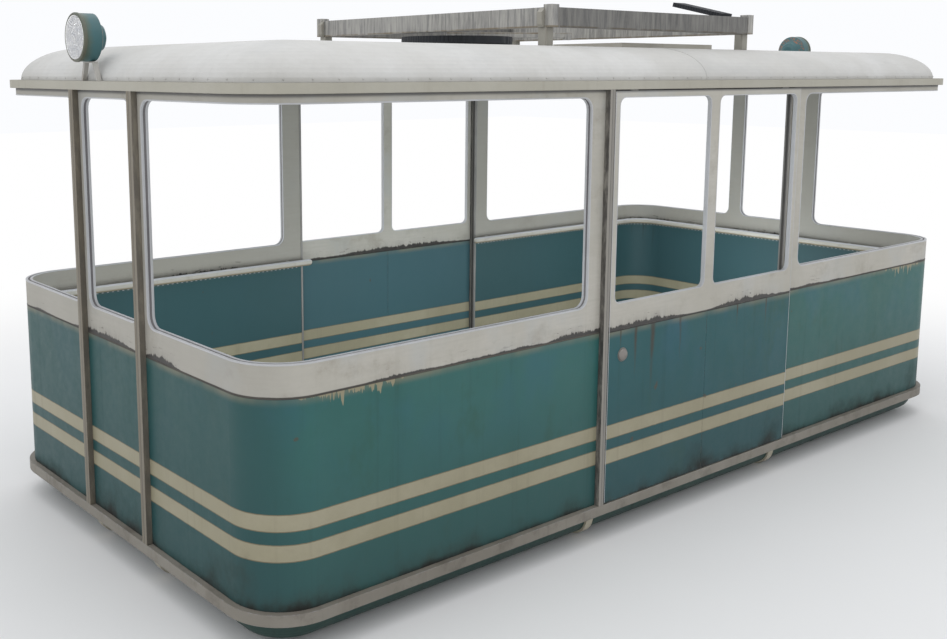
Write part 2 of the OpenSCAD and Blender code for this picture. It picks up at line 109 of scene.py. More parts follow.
def between(tree, value, low, high):
    """Smooth step from 0 at low to 1 at high, also downwards where low is above high."""
    made = node(tree, "ShaderNodeMapRange", {"Value": value, "From Min": low, "From Max": high})
    made.interpolation_type = "SMOOTHSTEP"
    return made.outputs["Result"]


def blend(tree, share, low, high):
    """Colour from low at share 0 to high at share 1."""
    return node(tree, "ShaderNodeMix", {0: share, 6: low, 7: high}, data_type="RGBA").outputs[2]


def times(tree, product, *others):
    """Product of two or more values."""
    for other in others:
        product = calc(tree, "MULTIPLY", product, other)
    return product


def lay_on(tree, color, coat, where, most):
    """The colour with a coat of another laid on where the mask is, at most this dense."""
    return blend(tree, times(tree, where, most), color, coat)


def parts_of(tree, vector):
    """The X, Y and Z of a point or a direction."""
    return node(tree, "ShaderNodeSeparateXYZ", {0: vector}).outputs


def object_place(tree):
    """The point on the piece, in the cabin's own frame."""
    return node(tree, "ShaderNodeTexCoord").outputs["Object"]


def stretched(tree, place, x, y, z):
    """The place scaled along each axis, for patterns that run one way."""
    made = node(tree, "ShaderNodeMapping", {"Vector": place, "Scale": (x, y, z)})
    return made.outputs["Vector"]


def noise(tree, place, scale, detail=3.0, roughness=0.55):
    """Cloudy value around 0.5 at the place."""
    inputs = {"Vector": place, "Scale": scale, "Detail": detail, "Roughness": roughness}
    return node(tree, "ShaderNodeTexNoise", inputs).outputs[0]


def effect(name, inputs, outputs):
    """A shader node group with the named sockets: its tree, and what goes in and out."""
    tree = bpy.data.node_groups.new(name, "ShaderNodeTree")
    for label, kind, value in inputs:
        tree.interface.new_socket(label, in_out="INPUT", socket_type=kind).default_value = value
    for label, kind in outputs:
        tree.interface.new_socket(label, in_out="OUTPUT", socket_type=kind)
    given = tree.nodes.new("NodeGroupInput").outputs
    made = tree.nodes.new("NodeGroupOutput").inputs
    return tree, given, made


def use(tree, name, inputs):
    """Places a node group in a material's tree and returns its outputs."""
    return node(tree, "ShaderNodeGroup", inputs, node_tree=bpy.data.node_groups[name]).outputs


def new_finish(name):
    """An empty material, its tree and its shader."""
    material = bpy.data.materials.new(name)
    material.use_nodes = True
    tree = material.node_tree
    return material, tree, tree.nodes["Principled BSDF"]


def coat_nodes(material, *names):
    """Gives these nodes of the frame their finish."""
    for name in names:
        for slot in nodes[name].material_slots:
            slot.material = material


# ---------- Studio ----------
# A plain pale floor that fades into a white room, with broad soft light from overhead and
# from the front left. Three dim soft lights inside stand for light off the floor and walls.
floor_z = cad_box[0].z - 0.02
floor_half = 40
fade_from, fade_to = 3.4, 7.5
room_light = 0.95
top_light_place, top_light_size, top_light_w = (-0.5, -0.5, 4.2), 9, 150
side_light_place, side_light_size, side_light_w = (-9.0, -4.0, 1.2), 5, 40
side_light_aim = (0, 0, -1.4)
cabin_light_size, cabin_light_w = 0.5, 38
cabin_lights_x = (-1.9, 0.0, 1.9)
cabin_light_z = -1.95

material, tree, shader = new_finish("studio_floor")
place = object_place(tree)
level_place = stretched(tree, place, 1, 1, 0)
away = node(tree, "ShaderNodeVectorMath", {0: level_place}, operation="LENGTH").outputs["Value"]
far = between(tree, away, fade_from, fade_to)
tone = blend(tree, noise(tree, place, 0.6), (0.80, 0.80, 0.80, 1), (0.84, 0.84, 0.84, 1))
tree.links.new(blend(tree, far, tone, (0, 0, 0, 1)), shader.inputs["Base Color"])
tree.links.new(blend(tree, far, (0, 0, 0, 1), (1, 1, 1, 1)), shader.inputs["Emission Color"])
shader.inputs["Emission Strength"].default_value = 1.0
shader.inputs["Specular IOR Level"].default_value = 0.0
shader.inputs["Roughness"].default_value = 0.9
bm = bmesh.new()
bmesh.ops.create_grid(bm, x_segments=1, y_segments=1, size=floor_half)
bmesh.ops.translate(bm, verts=bm.verts, vec=(0, 0, floor_z))
mesh = bpy.data.meshes.new("studio_floor")
bm.to_mesh(mesh)
bm.free()
mesh.materials.append(material)
studio_floor = bpy.data.objects.new("studio_floor", mesh)
bpy.context.scene.collection.objects.link(studio_floor)

world = bpy.data.worlds.new("room")
bpy.context.scene.world = world
world.use_nodes = True
tree = world.node_tree
seen = node(tree, "ShaderNodeLightPath").outputs["Is Camera Ray"]
strength = node(tree, "ShaderNodeMapRange", {"Value": seen, "To Min": room_light, "To Max": 1.0})
room = tree.nodes["Background"]
room.inputs["Color"].default_value = (0.97, 0.98, 1.0, 1)
tree.links.new(strength.outputs["Result"], room.inputs["Strength"])


def soft_light(name, kind, place, size, power, color, aim=None):
    """A wide square light that faces the point aim, or a round one that shines all round."""
    data = bpy.data.lights.new(name, kind)
    if aim:
        data.shape = "SQUARE"
        data.size = size
    else:
        data.shadow_soft_size = size
    data.energy = power
    data.color = color
    light = bpy.data.objects.new(name, data)
    light.location = place
    if aim:
        light.rotation_euler = (Vector(aim) - Vector(place)).to_track_quat("-Z", "Y").to_euler()
    light.visible_camera = False
    light.visible_glossy = aim is not None
    bpy.context.scene.collection.objects.link(light)


soft_light("top_light", "AREA", top_light_place, top_light_size, top_light_w, (1, 1, 1), (0, 0, 0))
soft_light("side_light", "AREA", side_light_place, side_light_size, side_light_w,
           (0.93, 0.97, 1.0), side_light_aim)
for x in cabin_lights_x:
    soft_light("cabin_light", "POINT", (x, 0, cabin_light_z), cabin_light_size, cabin_light_w,
               (0.93, 0.98, 1.0))
bpy.context.scene.view_settings.view_transform = "Standard"

# ---------- Shared effects of age ----------
# What forty winters leave on painted sheet metal: faded and mottled paint with faint rain
# runs, softly rounded and rubbed edges, and dirt that splashes up from below.

# Paint that has faded in clouds, with fine mottling, faint runs and shallow dents
tree, given, made = effect(
    "worn_paint",
    [("Paint", COLOR, (0.1, 0.2, 0.2, 1)), ("Faded", COLOR, (0.2, 0.3, 0.3, 1)),
     ("Runs", COLOR, (0.1, 0.1, 0.1, 1)), ("Fading", VALUE, 0.6), ("Run Share", VALUE, 0.3),
     ("Gloss", VALUE, 0.4)],
    [("Color", COLOR), ("Roughness", VALUE), ("Height", VALUE)])
place = object_place(tree)
clouds = between(tree, noise(tree, place, 1.3, 5, 0.6), 0.36, 0.68)
faded = lay_on(tree, given["Paint"], given["Faded"], clouds, given["Fading"])
fine = noise(tree, place, 24, 6, 0.65)
brightness = calc(tree, "MULTIPLY_ADD", fine, 0.16, 0.92)
mottled = node(tree, "ShaderNodeHueSaturation", {"Color": faded, "Value": brightness}).outputs[0]
runs = between(tree, noise(tree, stretched(tree, place, 21, 21, 0.8), 1, 4, 0.6), 0.54, 0.8)
runs = times(tree, runs, given["Run Share"])
tree.links.new(blend(tree, runs, mottled, given["Runs"]), made["Color"])
rough = calc(tree, "MULTIPLY_ADD", fine, 0.3, calc(tree, "SUBTRACT", given["Gloss"], 0.12))
tree.links.new(calc(tree, "MULTIPLY_ADD", runs, 0.25, rough), made["Roughness"])
waves = noise(tree, place, 2.6, 2)
grit = noise(tree, place, 240, 2)
tree.links.new(calc(tree, "MULTIPLY_ADD", waves, 6.0, times(tree, grit, 0.12)), made["Height"])

# Edges: rounded normals, and a mask of where they are rubbed
tree, given, made = effect(
    "soft_edge", [("Radius", VALUE, 0.004), ("Rubbing", VALUE, 1.0)],
    [("Normal", VECTOR), ("Rubbed", VALUE)])
rounded = node(tree, "ShaderNodeBevel", {"Radius": given["Radius"]}, samples=6).outputs[0]
flat = node(tree, "ShaderNodeNewGeometry").outputs["Normal"]
alike = node(tree, "ShaderNodeVectorMath", {0: rounded, 1: flat}, operation="DOT_PRODUCT")
turned = between(tree, calc(tree, "SUBTRACT", 1.0, alike.outputs["Value"]), 0.02, 0.2)
patchy = between(tree, noise(tree, object_place(tree), 19, 5, 0.7), 0.45, 0.62)
rubbed = calc(tree, "MULTIPLY", times(tree, turned, patchy), given["Rubbing"], clamp=True)
tree.links.new(rounded, made["Normal"])
tree.links.new(rubbed, made["Rubbed"])

# Dirt that thins out upwards from a level, deeper where Heavy is
tree, given, made = effect(
    "foot_dirt",
    [("Level", VALUE, 0.0), ("Reach", VALUE, 0.2), ("Patchiness", VALUE, 0.8), ("Heavy", VALUE, 0.0)],
    [("Dirt", VALUE)])
place = object_place(tree)
height = parts_of(tree, place)["Z"]
reach = times(tree, given["Reach"], calc(tree, "MULTIPLY_ADD", given["Heavy"], 1.6, 1.0))
up = calc(tree, "DIVIDE", calc(tree, "SUBTRACT", height, given["Level"]), reach)
clouds = noise(tree, stretched(tree, place, 5.0, 5.0, 4.2), 1, 5, 0.6)
uneven = times(tree, calc(tree, "SUBTRACT", clouds, 0.5), given["Patchiness"])
depth = calc(tree, "MULTIPLY_ADD", uneven, 3.4, calc(tree, "SUBTRACT", 1.0, up))
tree.links.new(between(tree, depth, 0.1, 1.5), made["Dirt"])

# Runs that hang down from a level where Where is, each as long as chance has it
tree, given, made = effect(
    "hanging_drips",
    [("Level", VALUE, 0.0), ("Length", VALUE, 0.1), ("Gap", VALUE, 0.02), ("Where", VALUE, 0.0)],
    [("Drips", VALUE)])
place = object_place(tree)
height = parts_of(tree, place)["Z"]
wobble = noise(tree, place, 25, 2)
level_place = stretched(tree, place, 1, 1, 0)
each = noise(tree, level_place, calc(tree, "DIVIDE", 1.0, given["Gap"]), 2, 0.6)
each = calc(tree, "MULTIPLY_ADD", calc(tree, "SUBTRACT", wobble, 0.5), 0.18, each)
length = times(tree, given["Length"], given["Where"], between(tree, each, 0.4, 0.72))
down = calc(tree, "SUBTRACT", given["Level"], height)
left = calc(tree, "SUBTRACT", length, down)
drips = times(tree, between(tree, left, 0.0, 0.010), between(tree, down, -0.004, 0.0))
tree.links.new(drips, made["Drips"])


def close_to(tree, place, spots):
    """1 at each of the spots (x, y, reach), fading out to 0 at its reach, whatever the height."""
    level_place = stretched(tree, place, 1, 1, 0)
    most = None
    for x, y, reach in spots:
        gap = node(tree, "ShaderNodeVectorMath", {0: level_place, 1: (x, y, 0)},
                   operation="DISTANCE")
        share = between(tree, gap.outputs["Value"], reach, reach * 0.25)
        most = share if most is None else calc(tree, "MAXIMUM", most, share)
    return most


def worn_coat(tree, paint, faded, runs, fading, run_share, gloss):
    """Places the worn_paint group, which gives Color, Roughness and Height."""
    return use(tree, "worn_paint", {"Paint": paint, "Faded": faded, "Runs": runs, "Fading": fading,
                                    "Run Share": run_share, "Gloss": gloss})


def finish_surface(tree, shader, color, roughness, height, radius, rub=None, rubbing=0.5,
                   bump=0.002):
    """Rounds the edges, rubs them through to the colour rub, and joins all to the shader."""
    edge = use(tree, "soft_edge", {"Radius": radius, "Rubbing": rubbing})
    if rub is not None:
        color = blend(tree, edge["Rubbed"], color, rub)
    relief = node(tree, "ShaderNodeBump", {"Height": height, "Normal": edge["Normal"],
                                           "Distance": bump})
    tree.links.new(color, shader.inputs["Base Color"])
    tree.links.new(roughness, shader.inputs["Roughness"])
    tree.links.new(relief.outputs[0], shader.inputs["Normal"])


def painted(name, paint, faded, dirt, fading=0.6, run_share=0.3, gloss=0.45, radius=0.004,
            rub=(0.20, 0.19, 0.17, 1), rubbing=0.6):
    """A plain coat of paint on metal, with rubbed edges."""
    material, tree, shader = new_finish(name)
    coat = worn_coat(tree, paint, faded, dirt, fading, run_share, gloss)
    finish_surface(tree, shader, coat["Color"], coat["Roughness"], coat["Height"], radius, rub,
                   rubbing)
    return material


# ---------- Floor and belly ----------
# The deck carries ribbed rubber matting. Below it hangs a pressed steel pan in dull dark
# green, held up by cream strap iron that is bent round it.
floor_mat, tree, shader = new_finish("floor_mat")
place = object_place(tree)
coat = worn_coat(tree, (0.06, 0.055, 0.05, 1), (0.13, 0.12, 0.105, 1), (0.2, 0.18, 0.15, 1), 0.9,
                 0.2, 0.75)
ribs = node(tree, "ShaderNodeTexWave", {"Vector": place, "Scale": 14.0, "Distortion": 0.0},
            bands_direction="Y").outputs["Fac"]
relief = calc(tree, "MULTIPLY_ADD", ribs, 1.5, coat["Height"])
finish_surface(tree, shader, coat["Color"], coat["Roughness"], relief, 0.003)
coat_nodes(floor_mat, "floor_deck")

belly_green = painted("belly_green", (0.008, 0.036, 0.030, 1), (0.020, 0.050, 0.040, 1),
                      (0.02, 0.024, 0.02, 1), 0.9, 0.5, 0.55)
coat_nodes(belly_green, "belly_pan")
strap_cream = painted("strap_cream", (0.36, 0.33, 0.25, 1), (0.43, 0.40, 0.32, 1),
                      (0.13, 0.10, 0.07, 1), 0.7, 0.4, 0.55, rub=(0.13, 0.08, 0.045, 1))
coat_nodes(strap_cream, "cross_straps", "long_straps")

# ---------- Skirt and eave rails ----------
# Folded steel sections in beige-grey. The skirt rail carries the walls and gets the road
# dirt, and the eave rail above the windows stays cleaner.
skirt_beige, tree, shader = new_finish("skirt_beige")
coat = worn_coat(tree, (0.185, 0.168, 0.140, 1), (0.245, 0.228, 0.196, 1), (0.10, 0.08, 0.06, 1),
                 0.8, 0.3, 0.55)
grimy = between(tree, noise(tree, object_place(tree), 6, 6, 0.7), 0.48, 0.68)
color = lay_on(tree, coat["Color"], (0.085, 0.07, 0.055, 1), grimy, 0.45)
# Edges rubbed through to a light bluish grey: wear, and a painted highlight along them
finish_surface(tree, shader, color, coat["Roughness"], coat["Height"], 0.006, (0.38, 0.38, 0.41, 1),
               0.7)
coat_nodes(skirt_beige, "skirt_rail")
eave_beige = painted("eave_beige", (0.35, 0.335, 0.28, 1), (0.40, 0.387, 0.335, 1),
                     (0.26, 0.24, 0.19, 1), 0.7, 0.25, 0.5, 0.006)
coat_nodes(eave_beige, "eave_rail")

# ---------- Posts ----------
# Folded strips screwed to the outside: two on each end and one that each door closes
# against. A painted shadow line runs down each, where its two folds meet, and painted
# shade with grime darkens its side faces by the wall.


def facing(tree):
    """The X, Y and Z of the way the surface faces."""
    return parts_of(tree, node(tree, "ShaderNodeNewGeometry").outputs["Normal"])


def post_strip(name, paint, faded, axis, centre, half_gap, side_shade_and_grime):
    """Alloy strip with a dark line down its middle, centre from the body's middle along axis."""
    material, tree, shader = new_finish(name)
    place = object_place(tree)
    coat = worn_coat(tree, paint, faded, (0.10, 0.09, 0.075, 1), 0.7, 0.35, 0.5)
    parts = parts_of(tree, place)
    off = calc(tree, "SUBTRACT", calc(tree, "ABSOLUTE", parts[axis]), centre)
    line = between(tree, calc(tree, "ABSOLUTE", off), half_gap, half_gap * 0.4)
    color = blend(tree, between(tree, off, -0.004, 0.004), coat["Color"], faded)
    color = lay_on(tree, color, (0.055, 0.05, 0.045, 1), line, 0.7)
    # The side faces by the wall are darkened: painted shade with grime
    side = between(tree, calc(tree, "ABSOLUTE", facing(tree)[axis]), 0.6, 0.8)
    ragged = between(tree, noise(tree, stretched(tree, place, 18, 18, 5), 1, 5, 0.7), 0.3, 0.6)
    color = lay_on(tree, color, (0.05, 0.046, 0.042, 1), times(tree, side, ragged), side_shade_and_grime)
    relief = calc(tree, "SUBTRACT", coat["Height"], line)
    finish_surface(tree, shader, color, coat["Roughness"], relief, 0.004, (0.36, 0.35, 0.33, 1))
    return material


end_post_w = 0.048
end_post_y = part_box("end_posts_front")[1].y - end_post_w / 2
end_post_grey = post_strip("end_post_grey", (0.152, 0.130, 0.094, 1), (0.190, 0.168, 0.130, 1), "Y",
                           end_post_y, 0.003, 0.55)
coat_nodes(end_post_grey, "end_posts_front", "end_posts_rear")
low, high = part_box("left_door_post")
door_post_alloy = post_strip("door_post_alloy", (0.205, 0.196, 0.178, 1), (0.25, 0.235, 0.207, 1),
                             "X", -(low.x + high.x) / 2, 0.0018, 0.95)
coat_nodes(door_post_alloy, "left_door_post", "right_door_post")

# ---------- Lower panels ----------
# Sheet steel, sprayed teal with two cream stripes all round, inside and out. Water gets
# in at the belt joint above, so tan runs hang from it and dirt has settled at the foot.
half_length, half_width = 2.85, 1.36
wall_corner = 0.265
wall_thick = 0.036
ledge_z, belt_z = walls_foot_z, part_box("lower_panel_front")[1].z
low_stripe = (0.222, 0.292)
high_stripe = (0.355, 0.424)
rim_w = 0.004
paint_edge = 0.0008

tree, given, made = effect(
    "stripes", [("Ledge", VALUE, 0.0)], [("Stripe", VALUE), ("Rim", VALUE)])
place = object_place(tree)
height = parts_of(tree, place)["Z"]
wander = times(tree, calc(tree, "SUBTRACT", noise(tree, place, 30, 3), 0.5), 0.003)
up = calc(tree, "ADD", calc(tree, "SUBTRACT", height, given["Ledge"]), wander)
masks = []
for low, high in (low_stripe, high_stripe):
    for grow in (0.0, rim_w):
        rises = between(tree, up, low - grow - paint_edge, low - grow + paint_edge)
        falls = between(tree, up, high + grow + paint_edge, high + grow - paint_edge)
        masks.append(times(tree, rises, falls))
tree.links.new(calc(tree, "MAXIMUM", masks[0], masks[2]), made["Stripe"])
tree.links.new(calc(tree, "MAXIMUM", masks[1], masks[3]), made["Rim"])

# The belt joint: black grime with ragged hairs above it, chips higher up, tan stain below
thick_grime = ((-2.85, 0.12, 0.42), (-2.85, -0.5, 0.2), (-1.0, -1.36, 0.25), (-0.58, -1.38, 0.5),
               (0.05, 1.38, 0.8), (0.42, -1.38, 0.4), (2.7, 1.2, 0.8), (2.85, 0.0, 0.5),
               (-1.6, 1.36, 0.5))
tree, given, made = effect(
    "belt_grime", [("Belt", VALUE, 0.0)],
    [("Black", VALUE), ("Tan", VALUE), ("Chips", VALUE), ("Soot", VALUE)])
place = object_place(tree)
height = parts_of(tree, place)["Z"]
off = calc(tree, "SUBTRACT", height, given["Belt"])
flat_place = stretched(tree, place, 1, 1, 0)
broad = times(tree, between(tree, noise(tree, flat_place, 1.9, 3), 0.46, 0.7), 0.4)
heavy = calc(tree, "MAXIMUM", broad, close_to(tree, place, thick_grime))
ragged = between(tree, noise(tree, stretched(tree, place, 1, 1, 0.25), 21, 7, 0.78), 0.3, 0.66)
hairs = between(tree, noise(tree, stretched(tree, place, 150, 150, 12), 1, 3, 0.6), 0.35, 0.75)
tall = times(tree, ragged, calc(tree, "MULTIPLY_ADD", hairs, 0.5, 0.5))
reach = calc(tree, "MULTIPLY_ADD", times(tree, heavy, tall), 0.032,
             calc(tree, "MULTIPLY_ADD", heavy, 0.009, 0.0045))
above = between(tree, calc(tree, "SUBTRACT", reach, off), -0.002, 0.004)
below = between(tree, calc(tree, "ADD", off, 0.006), -0.002, 0.002)
tree.links.new(times(tree, above, below), made["Black"])
soft = times(tree, between(tree, off, -0.045, -0.006), between(tree, off, 0.0, -0.004))
patch = between(tree, noise(tree, flat_place, 4.2, 3), 0.3, 0.65)
tree.links.new(times(tree, soft, calc(tree, "MULTIPLY_ADD", patch, 0.7, 0.3)), made["Tan"])
flakes = between(tree, noise(tree, stretched(tree, place, 13, 13, 62), 1, 4, 0.62), 0.62, 0.655)
near_belt = times(tree, between(tree, off, 0.085, 0.03), between(tree, off, 0.002, 0.008))
tree.links.new(times(tree, flakes, near_belt, heavy), made["Chips"])
darkening = times(tree, between(tree, off, 0.085, 0.0), times(tree, heavy, ragged))
tree.links.new(times(tree, darkening, between(tree, off, -0.001, 0.001)), made["Soot"])

# Which skin of a wall this is, told by how far it stands out from the corners' centres
corner_x, corner_y = half_length - wall_corner, half_width - wall_corner
wall_middle, door_middle = wall_corner - wall_thick / 2, 0.283
tree, given, made = effect("inner_skin", [("Middle", VALUE, wall_middle)], [("Inside", VALUE)])
parts = parts_of(tree, object_place(tree))
past_x = calc(tree, "MAXIMUM", calc(tree, "SUBTRACT", calc(tree, "ABSOLUTE", parts["X"]), corner_x),
              0.0)
past_y = calc(tree, "MAXIMUM", calc(tree, "SUBTRACT", calc(tree, "ABSOLUTE", parts["Y"]), corner_y),
              0.0)
stand = calc(tree, "SQRT", calc(tree, "ADD", times(tree, past_x, past_x),
                                times(tree, past_y, past_y)))
tree.links.new(between(tree, calc(tree, "SUBTRACT", stand, given["Middle"]), 0.003, -0.003),
               made["Inside"])


def toward_ends(tree, place):
    """0 along the sides, rising to 1 at each end, where all paint is made a little darker."""
    far_out = calc(tree, "ABSOLUTE", parts_of(tree, place)["X"])
    return between(tree, far_out, corner_x + 0.015, half_length - 0.01)


def enamel_teal(name, paint, faded, bluish, indoor_shade_tint, middle, foot_heaps,
                rust, rust_color, rust_most, tan_drips=()):
    """The stripes, dirt, rust and belt grime on a panel of this shade of teal. The function
    rust gives the mask of its rust; tan_drips and foot_heaps say where those gather."""
    material, tree, shader = new_finish(name)
    place = object_place(tree)
    coat = worn_coat(tree, paint, faded, (0.016, 0.052, 0.046, 1), 0.8, 0.3, 0.42)
    cream = worn_coat(tree, (0.28, 0.257, 0.175, 1), (0.335, 0.31, 0.225, 1), (0.20, 0.18, 0.13, 1),
                      0.8, 0.35, 0.5)
    height = parts_of(tree, place)["Z"]
    inside = use(tree, "inner_skin", {"Middle": middle})["Inside"]
    # Bluer patches near the belt, greener ones elsewhere
    high_up = between(tree, height, ledge_z + 0.25, belt_z)
    patches = between(tree, noise(tree, stretched(tree, place, 2.4, 2.4, 1.6), 1, 5, 0.6), 0.46,
                      0.66)
    color = lay_on(tree, coat["Color"], bluish, times(tree, patches, high_up), 0.6)
    moss = between(tree, noise(tree, stretched(tree, place, 3.7, 3.7, 2.2), 1, 6, 0.65), 0.54, 0.7)
    color = lay_on(tree, color, (0.022, 0.076, 0.046, 1), moss, 0.4)
    # Darker towards the foot in painted shade with dirt, darker at the ends, and a tint indoors
    foot_shade_and_dirt = between(tree, height, belt_z - 0.1, ledge_z)
    color = lay_on(tree, color, (0.022, 0.052, 0.058, 1), foot_shade_and_dirt, 0.5)
    color = lay_on(tree, color, (0.016, 0.060, 0.064, 1), toward_ends(tree, place), 0.7)
    # Painted shade indoors: the inner skin takes a bluer tint
    color = lay_on(tree, color, indoor_shade_tint, inside, 0.85)
    stripes = use(tree, "stripes", {"Ledge": ledge_z})
    color = blend(tree, stripes["Rim"], color, (0.17, 0.14, 0.085, 1))
    color = blend(tree, stripes["Stripe"], color, cream["Color"])
    # Brown haze and black dirt at the foot
    foot = {"Level": ledge_z, "Heavy": close_to(tree, place, foot_heaps)}
    haze = use(tree, "foot_dirt", {**foot, "Reach": 0.10, "Patchiness": 0.9})["Dirt"]
    color = lay_on(tree, color, (0.035, 0.032, 0.024, 1), haze, 0.5)
    dirt = use(tree, "foot_dirt", {**foot, "Reach": 0.03, "Patchiness": 1.0})["Dirt"]
    color = lay_on(tree, color, (0.014, 0.011, 0.009, 1), dirt, 0.9)
    # Belt joint: tan stain, hanging runs on the outside, rust, black grime
    grime = use(tree, "belt_grime", {"Belt": belt_z})
    color = lay_on(tree, color, (0.21, 0.19, 0.13, 1), grime["Tan"], 0.62)
    if tan_drips:
        drips = use(tree, "hanging_drips", {"Level": belt_z - 0.004, "Length": 0.085, "Gap": 0.034,
                                            "Where": close_to(tree, place, tan_drips)})["Drips"]
        outside = calc(tree, "SUBTRACT", 1.0, inside)
        color = lay_on(tree, color, (0.31, 0.265, 0.17, 1), times(tree, drips, outside), 0.76)
    spots = between(tree, noise(tree, place, 11, 2, 0.4), 0.76, 0.79)
    color = lay_on(tree, color, (0.08, 0.05, 0.03, 1), spots, 0.6)
    color = lay_on(tree, color, rust_color, rust(tree, place, inside), rust_most)
    color = lay_on(tree, color, (0.02, 0.018, 0.017, 1), grime["Black"], 0.93)
    relief = calc(tree, "MULTIPLY_ADD", stripes["Stripe"], 0.15, coat["Height"])
    relief = calc(tree, "MULTIPLY_ADD", grime["Black"], -0.4, relief)
    rough = calc(tree, "MULTIPLY_ADD", haze, 0.3, coat["Roughness"])
    shader.inputs["Specular IOR Level"].default_value = 0.3
    finish_surface(tree, shader, color, rough, relief, 0.004, (0.20, 0.17, 0.13, 1))
    return material


def corner_rust(tree, place, inside):
    """Threads of rust down the inside of the rear corner on the right."""
    height = parts_of(tree, place)["Z"]
    threads = between(tree, noise(tree, stretched(tree, place, 12, 12, 0.6), 1, 4, 0.6), 0.55, 0.66)
    near_corner = close_to(tree, place, ((2.60, 1.26, 0.36),))
    near_belt = between(tree, height, belt_z - 0.36, belt_z - 0.05)
    return times(tree, threads, near_corner, near_belt, inside)


wall_teal = enamel_teal(
    "wall_teal", (0.024, 0.106, 0.096, 1), (0.032, 0.120, 0.112, 1), (0.028, 0.112, 0.136, 1),
    (0.040, 0.086, 0.098, 1), wall_middle,
    ((-2.72, -1.22, 0.55), (-2.85, 0.0, 0.4), (2.7, -1.2, 0.5), (2.85, 0.2, 0.5)),
    corner_rust, (0.026, 0.024, 0.02, 1), 0.8, ((-2.39, -1.36, 0.34), (2.32, -1.36, 0.30)))
coat_nodes(wall_teal, "lower_panel_front", "lower_panel_rear")

# ---------- Belt seal ----------
# A thin pressed bead that covers the joint between the lower panels and the window
# frames, all round each end. It is bent from strip, and half buried in old grime.
corner_cuts = 18


def folded(point, corner):
    """Where a point of the flattened wall lies. Along X it runs forwards on the left side from
    the middle of the body, round the front end and back on the right; -Y is outwards."""
    along, out, up = point.x, -point.y, point.z
    straight, end_half = half_length - corner, half_width - corner
    reach = corner + out
    quarter = corner * math.pi / 2
    if along < straight:
        return Vector((-along, -half_width - out, up))
    along -= straight
    if along < quarter:
        turn = along / corner
        return Vector((-straight - reach * math.sin(turn), -end_half - reach * math.cos(turn), up))
    along -= quarter
    if along < 2 * end_half:
        return Vector((-half_length - out, along - end_half, up))
    along -= 2 * end_half
    if along < quarter:
        turn = along / corner
        return Vector((-straight - reach * math.cos(turn), end_half + reach * math.sin(turn), up))
    return Vector((along - quarter - straight, half_width + out, up))


def bend(bm, corner=wall_corner):
    """Moves every point of a flattened mesh to its place on the wall."""
    for vert in bm.verts:
        vert.co = folded(vert.co, corner)
    bmesh.ops.recalc_face_normals(bm, faces=bm.faces)


def fold(bm):
    """Bends flat pieces round the front end, with cuts where the corners are."""
    quarter = wall_corner * math.pi / 2
    for start in (corner_x, corner_x + quarter + 2 * corner_y):
        for step in range(corner_cuts + 1):
            bmesh.ops.bisect_plane(bm, geom=bm.verts[:] + bm.edges[:] + bm.faces[:], dist=1e-6,
                                   plane_co=(start + quarter * step / corner_cuts, 0, 0),
                                   plane_no=(1, 0, 0))
    bend(bm)


def turn_part(bm, verts, angle, axis):
    """Turns these points about an axis of the cabin."""
    bmesh.ops.rotate(bm, cent=(0, 0, 0), matrix=Matrix.Rotation(angle, 3, axis), verts=verts)


def keep_piece(bm, name, material, body, both_ways=False):
    """Makes a finished mesh a piece on its body. With both_ways, it also holds a copy of the
    mesh half a turn round."""
    if both_ways:
        copy = bmesh.ops.duplicate(bm, geom=bm.verts[:] + bm.edges[:] + bm.faces[:])["geom"]
        turned = [part for part in copy if isinstance(part, bmesh.types.BMVert)]
        turn_part(bm, turned, math.pi, "Z")
    for face in bm.faces:
        face.smooth = True
    for edge in bm.edges:
        edge.smooth = len(edge.link_faces) == 2 and edge.calc_face_angle() < math.radians(32)
    mesh = bpy.data.meshes.new(name)
    bm.to_mesh(mesh)
    bm.free()
    mesh.materials.append(material)
    piece = bpy.data.objects.new(name, mesh)
    bpy.context.scene.collection.objects.link(piece)
    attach(piece, body)
    return piece


def add_plate(bm, left, right, bottom, top, radius=0.0):
    """A flat plate in the wall's face, with round corners; returns its face."""
    start = set(bm.faces)
    verts = bmesh.ops.create_grid(bm, x_segments=1, y_segments=1, size=0.5)["verts"]
    bmesh.ops.scale(bm, vec=(right - left, top - bottom, 1), verts=verts)
    turn_part(bm, verts, math.pi / 2, "X")
    bmesh.ops.translate(bm, vec=((left + right) / 2, 0, (bottom + top) / 2), verts=verts)
    if radius:
        bmesh.ops.bevel(bm, geom=verts, offset=radius, offset_type="OFFSET", segments=5,
                        profile=0.5, affect="VERTICES", material=-1)
    return [face for face in bm.faces if face not in start]


def thicken(bm, faces, outside, inside, edge=0.0):
    """Gives flat faces a thickness from inside to outside of the wall's face, edges rounded."""
    verts = list({vert for face in faces for vert in face.verts})
    bmesh.ops.translate(bm, vec=(0, -outside, 0), verts=verts)
    start = set(bm.faces) - set(faces)
    made = bmesh.ops.extrude_face_region(bm, geom=faces, use_keep_orig=True)["geom"]
    moved = [part for part in made if isinstance(part, bmesh.types.BMVert)]
    bmesh.ops.translate(bm, vec=(0, outside + inside, 0), verts=moved)
    solid = [face for face in bm.faces if face not in start]
    bmesh.ops.recalc_face_normals(bm, faces=solid)
    if edge:
        sharp = list({line for face in solid for line in face.edges
                      if line.calc_face_angle(0) > math.radians(60)})
        bmesh.ops.bevel(bm, geom=sharp, offset=edge, offset_type="OFFSET", segments=2, profile=0.5,
                        affect="EDGES", material=-1, clamp_overlap=True)


def add_disc(bm, x, z, radius, segments):
    """A flat round plate in the wall's face; returns its face."""
    verts = bmesh.ops.create_circle(bm, cap_ends=True, segments=segments, radius=radius)["verts"]
    turn_part(bm, verts, math.pi / 2, "X")
    bmesh.ops.translate(bm, vec=(x, 0, z), verts=verts)
    return verts[0].link_faces[:]


